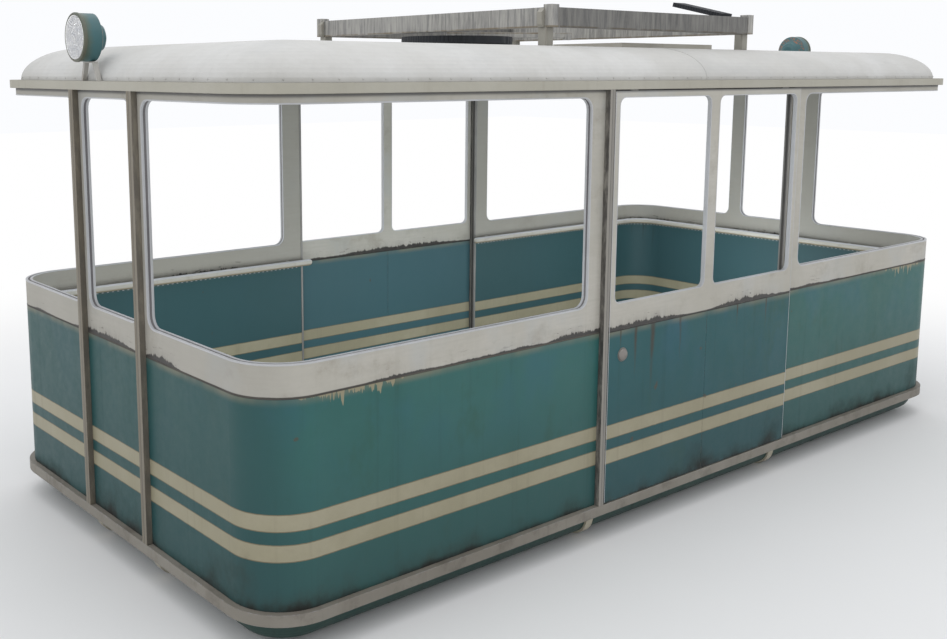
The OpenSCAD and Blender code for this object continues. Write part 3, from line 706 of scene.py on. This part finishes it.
def add_ring(bm, box, radius, width, outside, inside, edge=0.0):
    """A frame of this width just inside the box (left, right, bottom, top)."""
    middle = add_plate(bm, *box, radius)
    ring = bmesh.ops.inset_region(bm, faces=middle, thickness=width, depth=0, use_boundary=True,
                                  use_even_offset=True)["faces"]
    bmesh.ops.delete(bm, geom=middle, context="FACES_ONLY")
    thicken(bm, ring, outside, inside, edge)


bead_grime, tree, shader = new_finish("bead_grime")
coat = worn_coat(tree, (0.045, 0.04, 0.036, 1), (0.10, 0.088, 0.072, 1), (0.02, 0.018, 0.016, 1),
                 0.9, 0.3, 0.7)
finish_surface(tree, shader, coat["Color"], coat["Roughness"], coat["Height"], 0.001)

left_doorway, right_doorway = 0.812, 0.840
end_middle = corner_x + wall_corner * math.pi / 2 + corner_y
round_the_end = 2 * end_middle
bead_below, bead_above, bead_out, bead_in = 0.004, 0.001, 0.0008, 0.001
bm = bmesh.new()
bead = add_plate(bm, left_doorway, round_the_end - right_doorway, belt_z - bead_below,
                 belt_z + bead_above)
thicken(bm, bead, bead_out, bead_in)
fold(bm)
keep_piece(bm, "belt_bead", bead_grime, "cabin", both_ways=True)

# ---------- Window frames ----------
# Pressed steel above the belt, brushed over many times in white. It has stained, rubbed
# through at the edges, and flaked to black metal along the belt.
tree, given, made = effect("brushed_white", [("Belt", VALUE, 0.0)],
                           [("Color", COLOR), ("Roughness", VALUE), ("Height", VALUE)])
place = object_place(tree)
coat = worn_coat(tree, (0.40, 0.383, 0.335, 1), (0.465, 0.448, 0.405, 1), (0.30, 0.28, 0.23, 1),
                 0.9, 0.22, 0.5)
brush = noise(tree, stretched(tree, place, 5.0, 5.0, 60), 1, 5, 0.62)
streaked = blend(tree, between(tree, brush, 0.35, 0.75), coat["Color"], (0.37, 0.355, 0.31, 1))
color = blend(tree, 0.4, coat["Color"], streaked)
stains = between(tree, noise(tree, stretched(tree, place, 3.2, 3.2, 4.0), 1, 7, 0.7), 0.53, 0.72)
color = lay_on(tree, color, (0.25, 0.225, 0.18, 1), stains, 0.5)
cool = between(tree, noise(tree, stretched(tree, place, 2.1, 2.1, 1.5), 1, 4, 0.6), 0.5, 0.68)
color = lay_on(tree, color, (0.39, 0.405, 0.40, 1), cool, 0.5)
color = lay_on(tree, color, (0.24, 0.23, 0.205, 1), toward_ends(tree, place), 0.35)
# Painted shade indoors: the inner skin of the frames is darker
inside = use(tree, "inner_skin", {"Middle": wall_middle})["Inside"]
color = lay_on(tree, color, (0.255, 0.245, 0.215, 1), inside, 0.6)
# Painted shadow with grime in a narrow band under the eave
height = parts_of(tree, place)["Z"]
eave_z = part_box("eave_rail")[0].z
under_eave_shadow_and_grime = times(tree, between(tree, height, eave_z - 0.020, eave_z - 0.006), 0.8)
color = blend(tree, under_eave_shadow_and_grime, color, (0.060, 0.062, 0.068, 1))
grime = use(tree, "belt_grime", {"Belt": given["Belt"]})
color = lay_on(tree, color, (0.16, 0.15, 0.135, 1), grime["Soot"], 0.55)
color = lay_on(tree, color, (0.05, 0.045, 0.04, 1), grime["Chips"], 0.88)
color = lay_on(tree, color, (0.022, 0.02, 0.019, 1), grime["Black"], 0.94)
tree.links.new(color, made["Color"])
tree.links.new(coat["Roughness"], made["Roughness"])
relief = calc(tree, "MULTIPLY_ADD", brush, 0.25, coat["Height"])
relief = calc(tree, "MULTIPLY_ADD", calc(tree, "MAXIMUM", grime["Chips"], grime["Black"]), -0.5,
              relief)
tree.links.new(relief, made["Height"])

frame_white, tree, shader = new_finish("frame_white")
coat = use(tree, "brushed_white", {"Belt": belt_z})
finish_surface(tree, shader, coat["Color"], coat["Roughness"], coat["Height"], 0.006,
               (0.26, 0.24, 0.205, 1), 0.4)
coat_nodes(frame_white, "window_frame_front", "window_frame_rear_left", "window_frame_rear_right")

# ---------- Window linings ----------
# Each wall opening is lined with two rolled alloy strips, one that laps the outside and
# one flush with the inside, and the empty glazing channel between them is dark: grime
# with painted shade for its depth.
opening = {one["name"]: one["box_m"] for one in frame["record"]["physics"]["openings"]}
opening_margin = 0.018
window_radius = 0.060
lip_lap, lip_in = 0.004, 0.003
outer_proud, inner_proud = 0.0009, 0.001
outer_round, inner_round = 0.0008, 0.0010
channel, channel_t = (0.012, 0.024), 0.0008

lining_alloy = painted("lining_alloy", (0.43, 0.435, 0.445, 1), (0.50, 0.51, 0.53, 1),
                       (0.28, 0.26, 0.22, 1), 0.8, 0.25, 0.36, 0.001, rub=(0.3, 0.28, 0.25, 1),
                       rubbing=0.3)
# Dark grey for grime, with painted shade for the depth of the channel
channel_grey = painted("channel_grey", (0.135, 0.127, 0.135, 1), (0.20, 0.19, 0.19, 1),
                       (0.07, 0.06, 0.05, 1), 0.9, 0.4, 0.7, 0.0005)

low, high = opening["front_left_side_window"]
sill_z, window_top_z = low[2] - opening_margin, high[2] + opening_margin
left_edge = -high[0] - opening_margin
right_edge = round_the_end + opening["front_right_side_window"][1][0] + opening_margin
end_gap = -opening["front_left_end_window"][1][1] - opening_margin
middle_half = opening["front_middle_window"][1][1] + opening_margin
wall_windows = ((left_edge, end_middle - end_gap),
                (end_middle - middle_half, end_middle + middle_half),
                (end_middle + end_gap, right_edge))

outer_lips, inner_lips, channels = bmesh.new(), bmesh.new(), bmesh.new()
for left, right in wall_windows:
    lapped = (left - lip_lap, right + lip_lap, sill_z - lip_lap, window_top_z + lip_lap)
    exact = (left, right, sill_z, window_top_z)
    add_ring(outer_lips, lapped, window_radius + lip_lap, lip_lap + lip_in, outer_proud,
             channel[0], outer_round)
    add_ring(inner_lips, exact, window_radius, lip_in, -channel[1], wall_thick + inner_proud,
             inner_round)
    add_ring(channels, exact, window_radius, channel_t, -channel[0], channel[1])
for bm, name, material in ((outer_lips, "outer_lips", lining_alloy),
                           (inner_lips, "inner_lips", lining_alloy),
                           (channels, "glazing_channels", channel_grey)):
    fold(bm)
    keep_piece(bm, "window_" + name, material, "cabin", both_ways=True)

# ---------- Doors ----------
# Each door is a panel in a bluer, plainer teal below a white frame. Rust has run down from
# the belt joint, and the foot is black where the wet gathers.

# Each rust run: its place along the door, half its width, and how far down it goes
rust_runs = ((-0.58, 0.018, 0.34), (-0.44, 0.028, 0.50), (-0.20, 0.016, 0.30), (0.33, 0.011, 0.18),
             (-0.70, 0.010, 0.16), (0.62, 0.012, 0.22))


def door_rust(tree, place, inside):
    """Rust runs on the outside of a door, each thinning out and fading as it goes down."""
    parts = parts_of(tree, place)
    sway = times(tree, calc(tree, "SUBTRACT", noise(tree, place, 9, 3), 0.5), 0.016)
    streaks = None
    for x, half, length in rust_runs:
        off = calc(tree, "ABSOLUTE", calc(tree, "ADD", calc(tree, "SUBTRACT", parts["X"], x), sway))
        down = calc(tree, "DIVIDE", calc(tree, "SUBTRACT", belt_z, parts["Z"]), length)
        width = calc(tree, "MULTIPLY", calc(tree, "SUBTRACT", 1.15, down), half, clamp=True)
        streak = times(tree, between(tree, off, width, 0.0), between(tree, down, 1.0, 0.1))
        streaks = streak if streaks is None else calc(tree, "MAXIMUM", streaks, streak)
    broken = between(tree, noise(tree, stretched(tree, place, 40, 40, 9), 1, 4, 0.65), 0.3, 0.6)
    outdoors = between(tree, inside, 0.6, 0.4)
    return times(tree, streaks, calc(tree, "MULTIPLY_ADD", broken, 0.6, 0.4), outdoors)


door_teal = enamel_teal(
    "door_teal", (0.015, 0.083, 0.092, 1), (0.023, 0.098, 0.110, 1), (0.023, 0.094, 0.134, 1),
    (0.052, 0.112, 0.130, 1), door_middle,
    ((0.03, -1.38, 0.22), (0.80, -1.38, 0.22), (-0.6, 1.38, 0.3)),
    door_rust, (0.050, 0.034, 0.020, 1), 0.85)
coat_nodes(door_teal, "left_door_panel", "right_door_panel")
coat_nodes(frame_white, "left_door_window_frame", "right_door_window_frame")

# Alloy lips folded round the door windows, and strips down the doors' edges
door_low, door_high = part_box("left_door_panel")
door_margin, door_radius = 0.013, 0.042
door_lip, door_lap, door_proud = 0.0025, 0.002, 0.0008
strip_w, strip_short = 0.003, 0.004
door_top_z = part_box("left_door_window_frame")[1].z
door_out = -half_width - door_low.y
door_in = -half_width - door_high.y
lap = door_margin + door_lap
for side, turn in (("left", 0), ("right", math.pi)):
    bm = bmesh.new()
    for one in ("left_door_front_window", "left_door_rear_window"):
        low, high = opening[one]
        add_ring(bm, (low[0] - lap, high[0] + lap, low[2] - lap, high[2] + lap),
                 door_radius + door_lap, door_lip + door_lap, door_out + door_proud,
                 door_proud - door_in, door_proud)
    for x in (door_low.x, door_high.x - strip_w):
        strip = add_plate(bm, x, x + strip_w, door_low.z + strip_short, door_top_z - strip_short)
        thicken(bm, strip, door_out + door_proud, -door_out + 0.001, 0.0003)
    bmesh.ops.translate(bm, vec=(0, -half_width, 0), verts=bm.verts)
    turn_part(bm, bm.verts, turn, "Z")
    keep_piece(bm, side + "_door_trims", lining_alloy, side + "_door")

# ---------- Doorway linings ----------
# An alloy angle covers the cut edge of the wall beside each doorway, from deck to header,
# with a dark rubber seal along it that the closed door hides.
doorway_edges = (0.806, -0.834)
lining_t, lining_lap, lining_back, lining_round = 0.0025, 0.012, 0.003, 0.0006
seal_w, seal_outer, seal_inner, seal_round = 0.006, 0.012, 0.026, 0.002
rubber = painted("seal_rubber", (0.055, 0.053, 0.05, 1), (0.09, 0.086, 0.08, 1),
                 (0.06, 0.055, 0.05, 1), 0.7, 0.4, 0.75, 0.001)
angle_grey = painted("angle_grey", (0.21, 0.205, 0.195, 1), (0.29, 0.28, 0.265, 1),
                     (0.09, 0.08, 0.065, 1), 0.9, 0.4, 0.5, 0.0008)
angles, seals = bmesh.new(), bmesh.new()
for edge_along in doorway_edges:
    inward = math.copysign(1, edge_along)
    for far, outside in ((-lining_t, -lining_back), (lining_lap, -wall_thick)):
        ends = sorted((edge_along, edge_along + inward * far))
        leg = add_plate(angles, *ends, walls_foot_z, window_top_z)
        thicken(angles, leg, outside, wall_thick + lining_t, lining_round)
    ends = sorted((edge_along - inward * lining_t, edge_along - inward * (lining_t + seal_w)))
    seal = add_plate(seals, *ends, walls_foot_z, window_top_z)
    thicken(seals, seal, -seal_outer, seal_inner, seal_round)
for bm, name, material in ((angles, "doorway_angles", angle_grey),
                           (seals, "doorway_seals", rubber)):
    bend(bm)
    keep_piece(bm, name, material, "cabin", both_ways=True)

# ---------- Handrail ----------
# A painted tube on short stubs, with a round flange at each stub. Its top carries a
# painted bluish highlight, and its underside is painted a darker tan. A row of studs
# sits below it.
handrail_cream, tree, shader = new_finish("handrail_cream")
coat = worn_coat(tree, (0.44, 0.42, 0.37, 1), (0.50, 0.485, 0.44, 1), (0.2, 0.16, 0.11, 1), 0.8,
                 0.3, 0.36)
upward = facing(tree)["Z"]
# Painted highlight: faces that point up are blended to a bluish white
color = blend(tree, between(tree, upward, 0.35, 0.85), coat["Color"], (0.56, 0.57, 0.59, 1))
# Faces that point down are painted a darker tan
color = lay_on(tree, color, (0.30, 0.235, 0.14, 1), between(tree, upward, -0.25, -0.7), 0.8)
finish_surface(tree, shader, color, coat["Roughness"], coat["Height"], 0.002, bump=0.001)
coat_nodes(handrail_cream, "handrail_front", "handrail_rear", "handrail_brackets")

rail_z = (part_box("handrail_front")[0].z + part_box("handrail_front")[1].z) / 2
flange_r, flange_t = 0.021, 0.004
corner_stub, end_stub = 2.435, 0.7
stub_places = (0.932, corner_stub, end_middle - end_stub, end_middle + end_stub,
               round_the_end - corner_stub, round_the_end - 0.960)
bm = bmesh.new()
for along in stub_places:
    thicken(bm, add_disc(bm, along, rail_z, flange_r, 20), -wall_thick, wall_thick + flange_t,
            0.001)
bend(bm)
keep_piece(bm, "handrail_flanges", handrail_cream, "cabin", both_ways=True)


def spaced(start, end, pitch):
    """Places from start up to the end, a pitch apart."""
    while start < end:
        yield start
        start += pitch


stud_l, stud_h, stud_proud, stud_pitch = 0.013, 0.004, 0.0015, 0.034
stud_z = rail_z - 0.038
stud_margin = 0.03
strip_end = round_the_end - right_doorway - stud_margin
bm = bmesh.new()
for along in spaced(left_doorway + stud_margin, strip_end, stud_pitch):
    stud = add_plate(bm, along, along + stud_l, stud_z, stud_z + stud_h)
    thicken(bm, stud, -wall_thick, wall_thick + stud_proud)
bend(bm)
keep_piece(bm, "rail_studs", lining_alloy, "cabin", both_ways=True)

# ---------- Roof ----------
# Two moulded shells in matt off-white with a capping strip where they meet, riveted to the
# eave rail all round. Their edges have gone grey with dust.
roof_foot_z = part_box("roof_front")[0].z
roof_white, tree, shader = new_finish("roof_white")
place = object_place(tree)
coat = worn_coat(tree, (0.50, 0.495, 0.475, 1), (0.57, 0.57, 0.56, 1), (0.42, 0.41, 0.39, 1), 0.9,
                 0.2, 0.62)
blotch = between(tree, noise(tree, stretched(tree, place, 1.6, 1.6, 5.0), 1, 6, 0.65), 0.5, 0.72)
color = lay_on(tree, coat["Color"], (0.43, 0.435, 0.43, 1), blotch, 0.4)
foot = use(tree, "foot_dirt", {"Level": roof_foot_z, "Reach": 0.035, "Patchiness": 0.5})["Dirt"]
color = lay_on(tree, color, (0.30, 0.29, 0.27, 1), foot, 0.45)
finish_surface(tree, shader, color, coat["Roughness"], coat["Height"], 0.003)
coat_nodes(roof_white, "roof_front", "roof_rear", "roof_seam_strip")

ceiling_grey = painted("ceiling_grey", (0.36, 0.40, 0.42, 1), (0.42, 0.45, 0.46, 1),
                       (0.3, 0.3, 0.28, 1))
coat_nodes(ceiling_grey, "ceiling")

roof_corner = 0.372
rivet_r, rivet_up, rivet_sunk, rivet_pitch = 0.0045, 0.013, 0.0005, 0.12
roof_round = 2 * (half_length + half_width - 2 * roof_corner) + roof_corner * math.pi
bm = bmesh.new()
for along in spaced(rivet_pitch / 2, roof_round, rivet_pitch):
    made = bmesh.ops.create_icosphere(bm, subdivisions=1, radius=rivet_r)["verts"]
    bmesh.ops.scale(bm, vec=(1, 0.5, 1), verts=made)
    bmesh.ops.translate(bm, vec=(along, rivet_sunk, roof_foot_z + rivet_up), verts=made)
bend(bm, roof_corner)
keep_piece(bm, "roof_rivets", roof_white, "cabin", both_ways=True)

# ---------- Ceiling and deck strips ----------
# Flat alloy strips cover the joints of the ceiling boards, and two more hold the edges of
# the deck's matting at the doorways.
ceiling_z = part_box("ceiling")[0].z
cover_places = (-1.9, -0.95, 0.0, 0.95, 1.9)
cover_half, cover_t = 0.018, 0.003
sill_half_l, sill_half_w, sill_in = 0.79, 0.02, 0.03
wall_inside = half_width - wall_thick
strips = [(x, 0, ceiling_z, cover_half, wall_inside - 0.004) for x in cover_places]
strips += [(0, side * (wall_inside - sill_in), walls_foot_z + cover_t, sill_half_l, sill_half_w)
           for side in (-1, 1)]
bm = bmesh.new()
for x, y, z, half_l, half_w in strips:
    made = bmesh.ops.create_grid(bm, x_segments=1, y_segments=1, size=1)["verts"]
    bmesh.ops.scale(bm, vec=(half_l, half_w, 1), verts=made)
    bmesh.ops.translate(bm, vec=(x, y, z), verts=made)
    bmesh.ops.solidify(bm, geom=[made[0].link_faces[0]], thickness=cover_t)
bmesh.ops.recalc_face_normals(bm, faces=bm.faces)
keep_piece(bm, "cover_strips", lining_alloy, "cabin")

# ---------- Roof frame ----------
# Box section beams, galvanised after welding, with the spangle washed into fine upright
# streaks and rust along the lower edge. The lugs and legs were painted cream later.
beam_low, beam_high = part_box("left_frame_beam")


def zinc_coat(name, shade):
    """Weathered galvanising; shade is how light it is painted, below 1 as painted shade."""
    material, tree, shader = new_finish(name)
    place = object_place(tree)
    coat = worn_coat(tree, (0.21, 0.206, 0.198, 1), (0.31, 0.305, 0.293, 1), (0.10, 0.096, 0.09, 1),
                     1.0, 0.25, 0.5)
    fine_runs = noise(tree, stretched(tree, place, 46, 46, 4.5), 1, 6, 0.68)
    color = blend(tree, between(tree, fine_runs, 0.36, 0.7), coat["Color"], (0.43, 0.42, 0.388, 1))
    color = lay_on(tree, color, (0.13, 0.13, 0.135, 1), between(tree, fine_runs, 0.5, 0.3), 0.45)
    spangle = node(tree, "ShaderNodeTexVoronoi",
                   {"Vector": place, "Scale": 70.0}).outputs["Distance"]
    color = lay_on(tree, color, (0.33, 0.33, 0.32, 1), spangle, 0.2)
    height = parts_of(tree, place)["Z"]
    off = calc(tree, "ABSOLUTE", calc(tree, "SUBTRACT", height, beam_low.z + 0.004))
    rusty = times(tree, between(tree, off, 0.008, 0.0),
                  between(tree, noise(tree, stretched(tree, place, 6, 6, 1), 1, 5, 0.7), 0.35, 0.6))
    color = lay_on(tree, color, (0.165, 0.12, 0.06, 1), rusty, 0.8)
    # The painted shade darkens the worn edges as well
    darkening = (0.03, 0.03, 0.03, 1)
    color = blend(tree, 1 - shade, color, darkening)
    rub = blend(tree, 1 - shade, (0.36, 0.355, 0.34, 1), darkening)
    relief = calc(tree, "MULTIPLY_ADD", fine_runs, 0.5, coat["Height"])
    finish_surface(tree, shader, color, coat["Roughness"], relief, 0.005, rub, 0.7)
    shader.inputs["Metallic"].default_value = 0.35
    return material


# The two long beams are painted darker than the end ones, as painted shade
zinc = zinc_coat("zinc", 1.0)
zinc_dark = zinc_coat("zinc_dark", 0.45)
coat_nodes(zinc_dark, "left_frame_beam", "right_frame_beam")
coat_nodes(zinc, "front_frame_beam", "rear_frame_beam", "hanger_blocks", "lock_arm",
           "left_door_track", "right_door_track", "left_door_hangers", "right_door_hangers")
leg_cream = painted("leg_cream", (0.26, 0.25, 0.215, 1), (0.34, 0.325, 0.285, 1),
                    (0.13, 0.10, 0.06, 1), 0.8, 0.5, 0.5, 0.004, rub=(0.14, 0.09, 0.05, 1))
coat_nodes(leg_cream, "frame_legs", "frame_lugs")
hatch_cream = painted("hatch_cream", (0.30, 0.285, 0.245, 1), (0.35, 0.335, 0.295, 1),
                      (0.28, 0.25, 0.19, 1), 0.8, 0.5, 0.55, 0.004)
coat_nodes(hatch_cream, "roof_hatch")

# Rippled weld beads up the outer corners of the beams, where they meet the corner blocks
weld_steel = painted("weld_steel", (0.16, 0.155, 0.145, 1), (0.24, 0.23, 0.21, 1),
                     (0.12, 0.075, 0.04, 1), 0.9, 0.5, 0.4, 0.001)
end_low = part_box("front_frame_beam")[0]
weld_r, weld_ripples, ripple_depth = 0.004, 22, 0.22
weld_spots = [Vector(spot) for spot in ((beam_low.x, beam_low.y), (-beam_low.x, beam_low.y),
                                        (end_low.x, end_low.y), (end_low.x, -end_low.y))]
rise = beam_high.z - beam_low.z
bm = bmesh.new()
for spot in weld_spots:
    made = bmesh.ops.create_circle(bm, cap_ends=True, segments=8, radius=weld_r)["verts"]
    bmesh.ops.translate(bm, vec=(spot.x, spot.y, beam_low.z), verts=made)
    grown = bmesh.ops.extrude_face_region(bm, geom=made[0].link_faces[:],
                                          use_keep_orig=True)["geom"]
    moved = [part for part in grown if isinstance(part, bmesh.types.BMVert)]
    bmesh.ops.translate(bm, vec=(0, 0, rise), verts=moved)
upright = [edge for edge in bm.edges if abs(edge.verts[0].co.z - edge.verts[1].co.z) > rise / 2]
bmesh.ops.subdivide_edges(bm, edges=upright, cuts=weld_ripples)
for vert in bm.verts:
    spot = min(weld_spots, key=lambda one: (vert.co.xy - one).length)
    wave = 1 + ripple_depth * math.sin((vert.co.z - beam_low.z) / rise * weld_ripples * math.pi)
    vert.co.xy = spot + (vert.co.xy - spot) * wave
bmesh.ops.recalc_face_normals(bm, faces=bm.faces)
keep_piece(bm, "frame_welds", weld_steel, "cabin", both_ways=True)

# ---------- Disc and pad ----------
# A dull black round disc with a worn rim lies within the frame. A tilted black pad, moulded
# with ridges across it, is fixed to the frame at the rear.
black, tree, shader = new_finish("black")
place = object_place(tree)
coat = worn_coat(tree, (0.004, 0.006, 0.010, 1), (0.010, 0.013, 0.019, 1), (0.04, 0.04, 0.04, 1),
                 0.9, 0.25, 0.6)
ridges = node(tree, "ShaderNodeTexWave", {"Vector": place, "Scale": 16.0, "Distortion": 0.0},
              bands_direction="Y").outputs["Fac"]
relief = calc(tree, "MULTIPLY_ADD", ridges, 2.2, coat["Height"])
finish_surface(tree, shader, coat["Color"], coat["Roughness"], relief, 0.004,
               (0.06, 0.06, 0.065, 1), 0.6, 0.003)
coat_nodes(black, "slewing_disc", "buffer_plate")

# ---------- Lamps ----------
# Spun steel housings in gloss teal, gone olive and rusty towards the rim, on two legs.
# Inside are a silvered bowl, a bulb and a pressed glass with a pattern, held by a bezel.
lamp_low, lamp_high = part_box("front_lamp_housing")
lamp_y, lamp_z = (lamp_low.y + lamp_high.y) / 2, (lamp_low.z + lamp_high.z) / 2
lamp_x = lamp_low.x
lamp_r = (lamp_high.z - lamp_low.z) / 2
lamp_step = 0.100

lamp_teal, tree, shader = new_finish("lamp_teal")
place = object_place(tree)
coat = worn_coat(tree, (0.026, 0.090, 0.098, 1), (0.040, 0.118, 0.130, 1), (0.05, 0.045, 0.03, 1),
                 1.0, 0.3, 0.36)
back = calc(tree, "ADD", calc(tree, "ABSOLUTE", parts_of(tree, place)["X"]), lamp_x)
cloud = times(tree, calc(tree, "SUBTRACT", noise(tree, place, 14, 5, 0.7), 0.5), 0.05)
olive = between(tree, calc(tree, "ADD", back, cloud), -0.055, -0.012)
color = lay_on(tree, coat["Color"], (0.085, 0.095, 0.055, 1), olive, 0.7)
near_step = between(tree, calc(tree, "ABSOLUTE", calc(tree, "ADD", back, lamp_step)), 0.012, 0.003)
specks = between(tree, noise(tree, place, 75, 4, 0.6), 0.5, 0.6)
color = lay_on(tree, color, (0.30, 0.10, 0.035, 1), near_step, specks)
finish_surface(tree, shader, color, coat["Roughness"], coat["Height"], 0.003,
               (0.20, 0.09, 0.045, 1), 0.9, 0.001)
coat_nodes(lamp_teal, "front_lamp_housing", "rear_lamp_housing")
lamp_bracket_grey = painted("lamp_bracket_grey", (0.32, 0.305, 0.27, 1), (0.40, 0.39, 0.365, 1),
                            (0.13, 0.09, 0.05, 1), 0.9, 0.5, 0.5, 0.002, rub=(0.14, 0.08, 0.04, 1))
coat_nodes(lamp_bracket_grey, "front_lamp_bracket", "rear_lamp_bracket")


def spun(bm, profile, closed=False):
    """Turns a profile of (depth behind the rim, radius) round the front lamp's axis."""
    verts = [bm.verts.new((lamp_x + depth, lamp_y, lamp_z + radius)) for depth, radius in profile]
    edges = [bm.edges.new(pair) for pair in zip(verts, verts[1:] + (verts[:1] if closed else []))]
    bmesh.ops.spin(bm, geom=verts + edges, cent=(lamp_x, lamp_y, lamp_z), axis=(1, 0, 0),
                   angle=2 * math.pi, steps=64, use_merge=True)
    bmesh.ops.remove_doubles(bm, verts=bm.verts, dist=1e-5)


def dish(depth, radius, steps, rim):
    """Profile of a shallow dish from its axis out to its rim."""
    return [(depth * (1 - (step / steps) ** 2) + rim, radius * step / steps)
            for step in range(steps + 1)]


bowl_steps = 12
bowl_r, bowl_depth, bowl_t = 0.1035, 0.037, 0.0012
rim_gap = 0.0005
silvered, tree, shader = new_finish("silvered_bowl")
dust = noise(tree, object_place(tree), 40, 5, 0.65)
tree.links.new(blend(tree, dust, (0.95, 0.96, 0.97, 1), (0.80, 0.79, 0.77, 1)),
               shader.inputs["Base Color"])
tree.links.new(calc(tree, "MULTIPLY_ADD", dust, 0.3, 0.08), shader.inputs["Roughness"])
shader.inputs["Metallic"].default_value = 1.0
bm = bmesh.new()
spun(bm, dish(bowl_depth, bowl_r, bowl_steps, -rim_gap))
bmesh.ops.solidify(bm, geom=bm.faces[:], thickness=bowl_t)
bmesh.ops.recalc_face_normals(bm, faces=bm.faces)
keep_piece(bm, "lamp_bowls", silvered, "cabin", both_ways=True)

bulb_glass = painted("bulb_glass", (0.72, 0.71, 0.66, 1), (0.80, 0.79, 0.75, 1),
                     (0.4, 0.38, 0.33, 1), 0.6, 0.2, 0.2)
bulb_r, bulb_in = 0.013, 0.018
bm = bmesh.new()
made = bmesh.ops.create_uvsphere(bm, u_segments=24, v_segments=14, radius=bulb_r)["verts"]
bmesh.ops.scale(bm, vec=(0.95, 1, 1), verts=made)
bmesh.ops.translate(bm, vec=(lamp_x + bulb_in, lamp_y, lamp_z), verts=made)
keep_piece(bm, "lamp_bulbs", bulb_glass, "cabin", both_ways=True)

# The glass: flutes and a rippled ring pressed into its inner face
flute_rate, ring_rate = 620.0, 330.0
lamp_glass, tree, shader = new_finish("lamp_glass")
place = object_place(tree)
parts = parts_of(tree, place)
sideways = calc(tree, "SUBTRACT", calc(tree, "ABSOLUTE", parts["Y"]), lamp_y)
upwards = calc(tree, "SUBTRACT", parts["Z"], lamp_z)
from_axis = calc(tree, "SQRT", calc(tree, "ADD", times(tree, sideways, sideways),
                                    times(tree, upwards, upwards)))
flutes = calc(tree, "SINE", calc(tree, "MULTIPLY_ADD", sideways, flute_rate,
                                 times(tree, noise(tree, place, 30, 3), 9.0)))
rings = calc(tree, "SINE", calc(tree, "MULTIPLY_ADD", from_axis, ring_rate,
                                times(tree, noise(tree, place, 22, 4), 12.0)))
cloudy = noise(tree, stretched(tree, place, 1, 30, 45), 1, 6, 0.7)
tree.links.new(blend(tree, between(tree, cloudy, 0.35, 0.62), (0.78, 0.80, 0.84, 1),
                     (1.0, 1.0, 1.0, 1)), shader.inputs["Base Color"])
tree.links.new(calc(tree, "MULTIPLY_ADD", cloudy, 0.25, 0.12), shader.inputs["Roughness"])
relief = calc(tree, "MULTIPLY_ADD", flutes, 0.5, times(tree, rings, 0.6))
relief = node(tree, "ShaderNodeBump", {"Height": relief, "Distance": 0.0012})
tree.links.new(relief.outputs[0], shader.inputs["Normal"])
shader.inputs["Transmission Weight"].default_value = 0.55
shader.inputs["IOR"].default_value = 1.46
glass_r, glass_t, glass_dome, glass_steps = 0.1045, 0.003, 0.0095, 8
bm = bmesh.new()
outer = dish(-glass_dome, glass_r, glass_steps, rim_gap)
inner = [(depth + glass_t, radius) for depth, radius in reversed(outer)]
spun(bm, outer + inner)
bmesh.ops.recalc_face_normals(bm, faces=bm.faces)
glass = keep_piece(bm, "lamp_glasses", lamp_glass, "cabin", both_ways=True)
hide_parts("front_lamp_lens", "rear_lamp_lens")

# The bezel that clamps the glass to the housing, pressed from strip with a rolled edge
bezel_rust = painted("bezel_rust", (0.060, 0.085, 0.072, 1), (0.10, 0.105, 0.075, 1),
                     (0.10, 0.055, 0.03, 1), 1.0, 0.6, 0.4, 0.001, rub=(0.24, 0.12, 0.06, 1),
                     rubbing=1.0)
bm = bmesh.new()
spun(bm, [(rim_gap, bowl_r), (-0.0015, 0.1055), (-0.002, 0.109), (0.0, 0.1135),
          (0.003, lamp_r + 0.0028), (0.013, lamp_r + 0.0030), (0.016, lamp_r + 0.001),
          (0.016, lamp_r - 0.002), (0.004, lamp_r - 0.003), (0.003, bowl_r)], closed=True)
bmesh.ops.recalc_face_normals(bm, faces=bm.faces)
keep_piece(bm, "lamp_bezels", bezel_rust, "cabin", both_ways=True)

# ---------- Door knobs ----------
# A domed knob of dull worn chrome at the closing edge of each door, on a thin round plate
# that is screwed to the panel.
knob_metal = painted("knob_metal", (0.19, 0.172, 0.155, 1), (0.27, 0.255, 0.24, 1),
                     (0.14, 0.11, 0.08, 1), 0.9, 0.5, 0.3, 0.002)
knob_metal.node_tree.nodes["Principled BSDF"].inputs["Metallic"].default_value = 0.7
coat_nodes(knob_metal, "left_door_knob", "right_door_knob")
knob_low, knob_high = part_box("left_door_knob")
knob_x, knob_z = (knob_low.x + knob_high.x) / 2, (knob_low.z + knob_high.z) / 2
plate_r = (knob_high.x - knob_low.x) / 2 + 0.003
plate_out, plate_in, plate_round = 0.0015, 0.0005, 0.0006
for side, turn in (("left", 0), ("right", math.pi)):
    bm = bmesh.new()
    plate = add_disc(bm, knob_x, knob_z, plate_r, 40)
    thicken(bm, plate, plate_out, plate_in, plate_round)
    bmesh.ops.translate(bm, vec=(0, door_low.y, 0), verts=bm.verts)
    turn_part(bm, bm.verts, turn, "Z")
    keep_piece(bm, side + "_knob_plate", knob_metal, side + "_door")
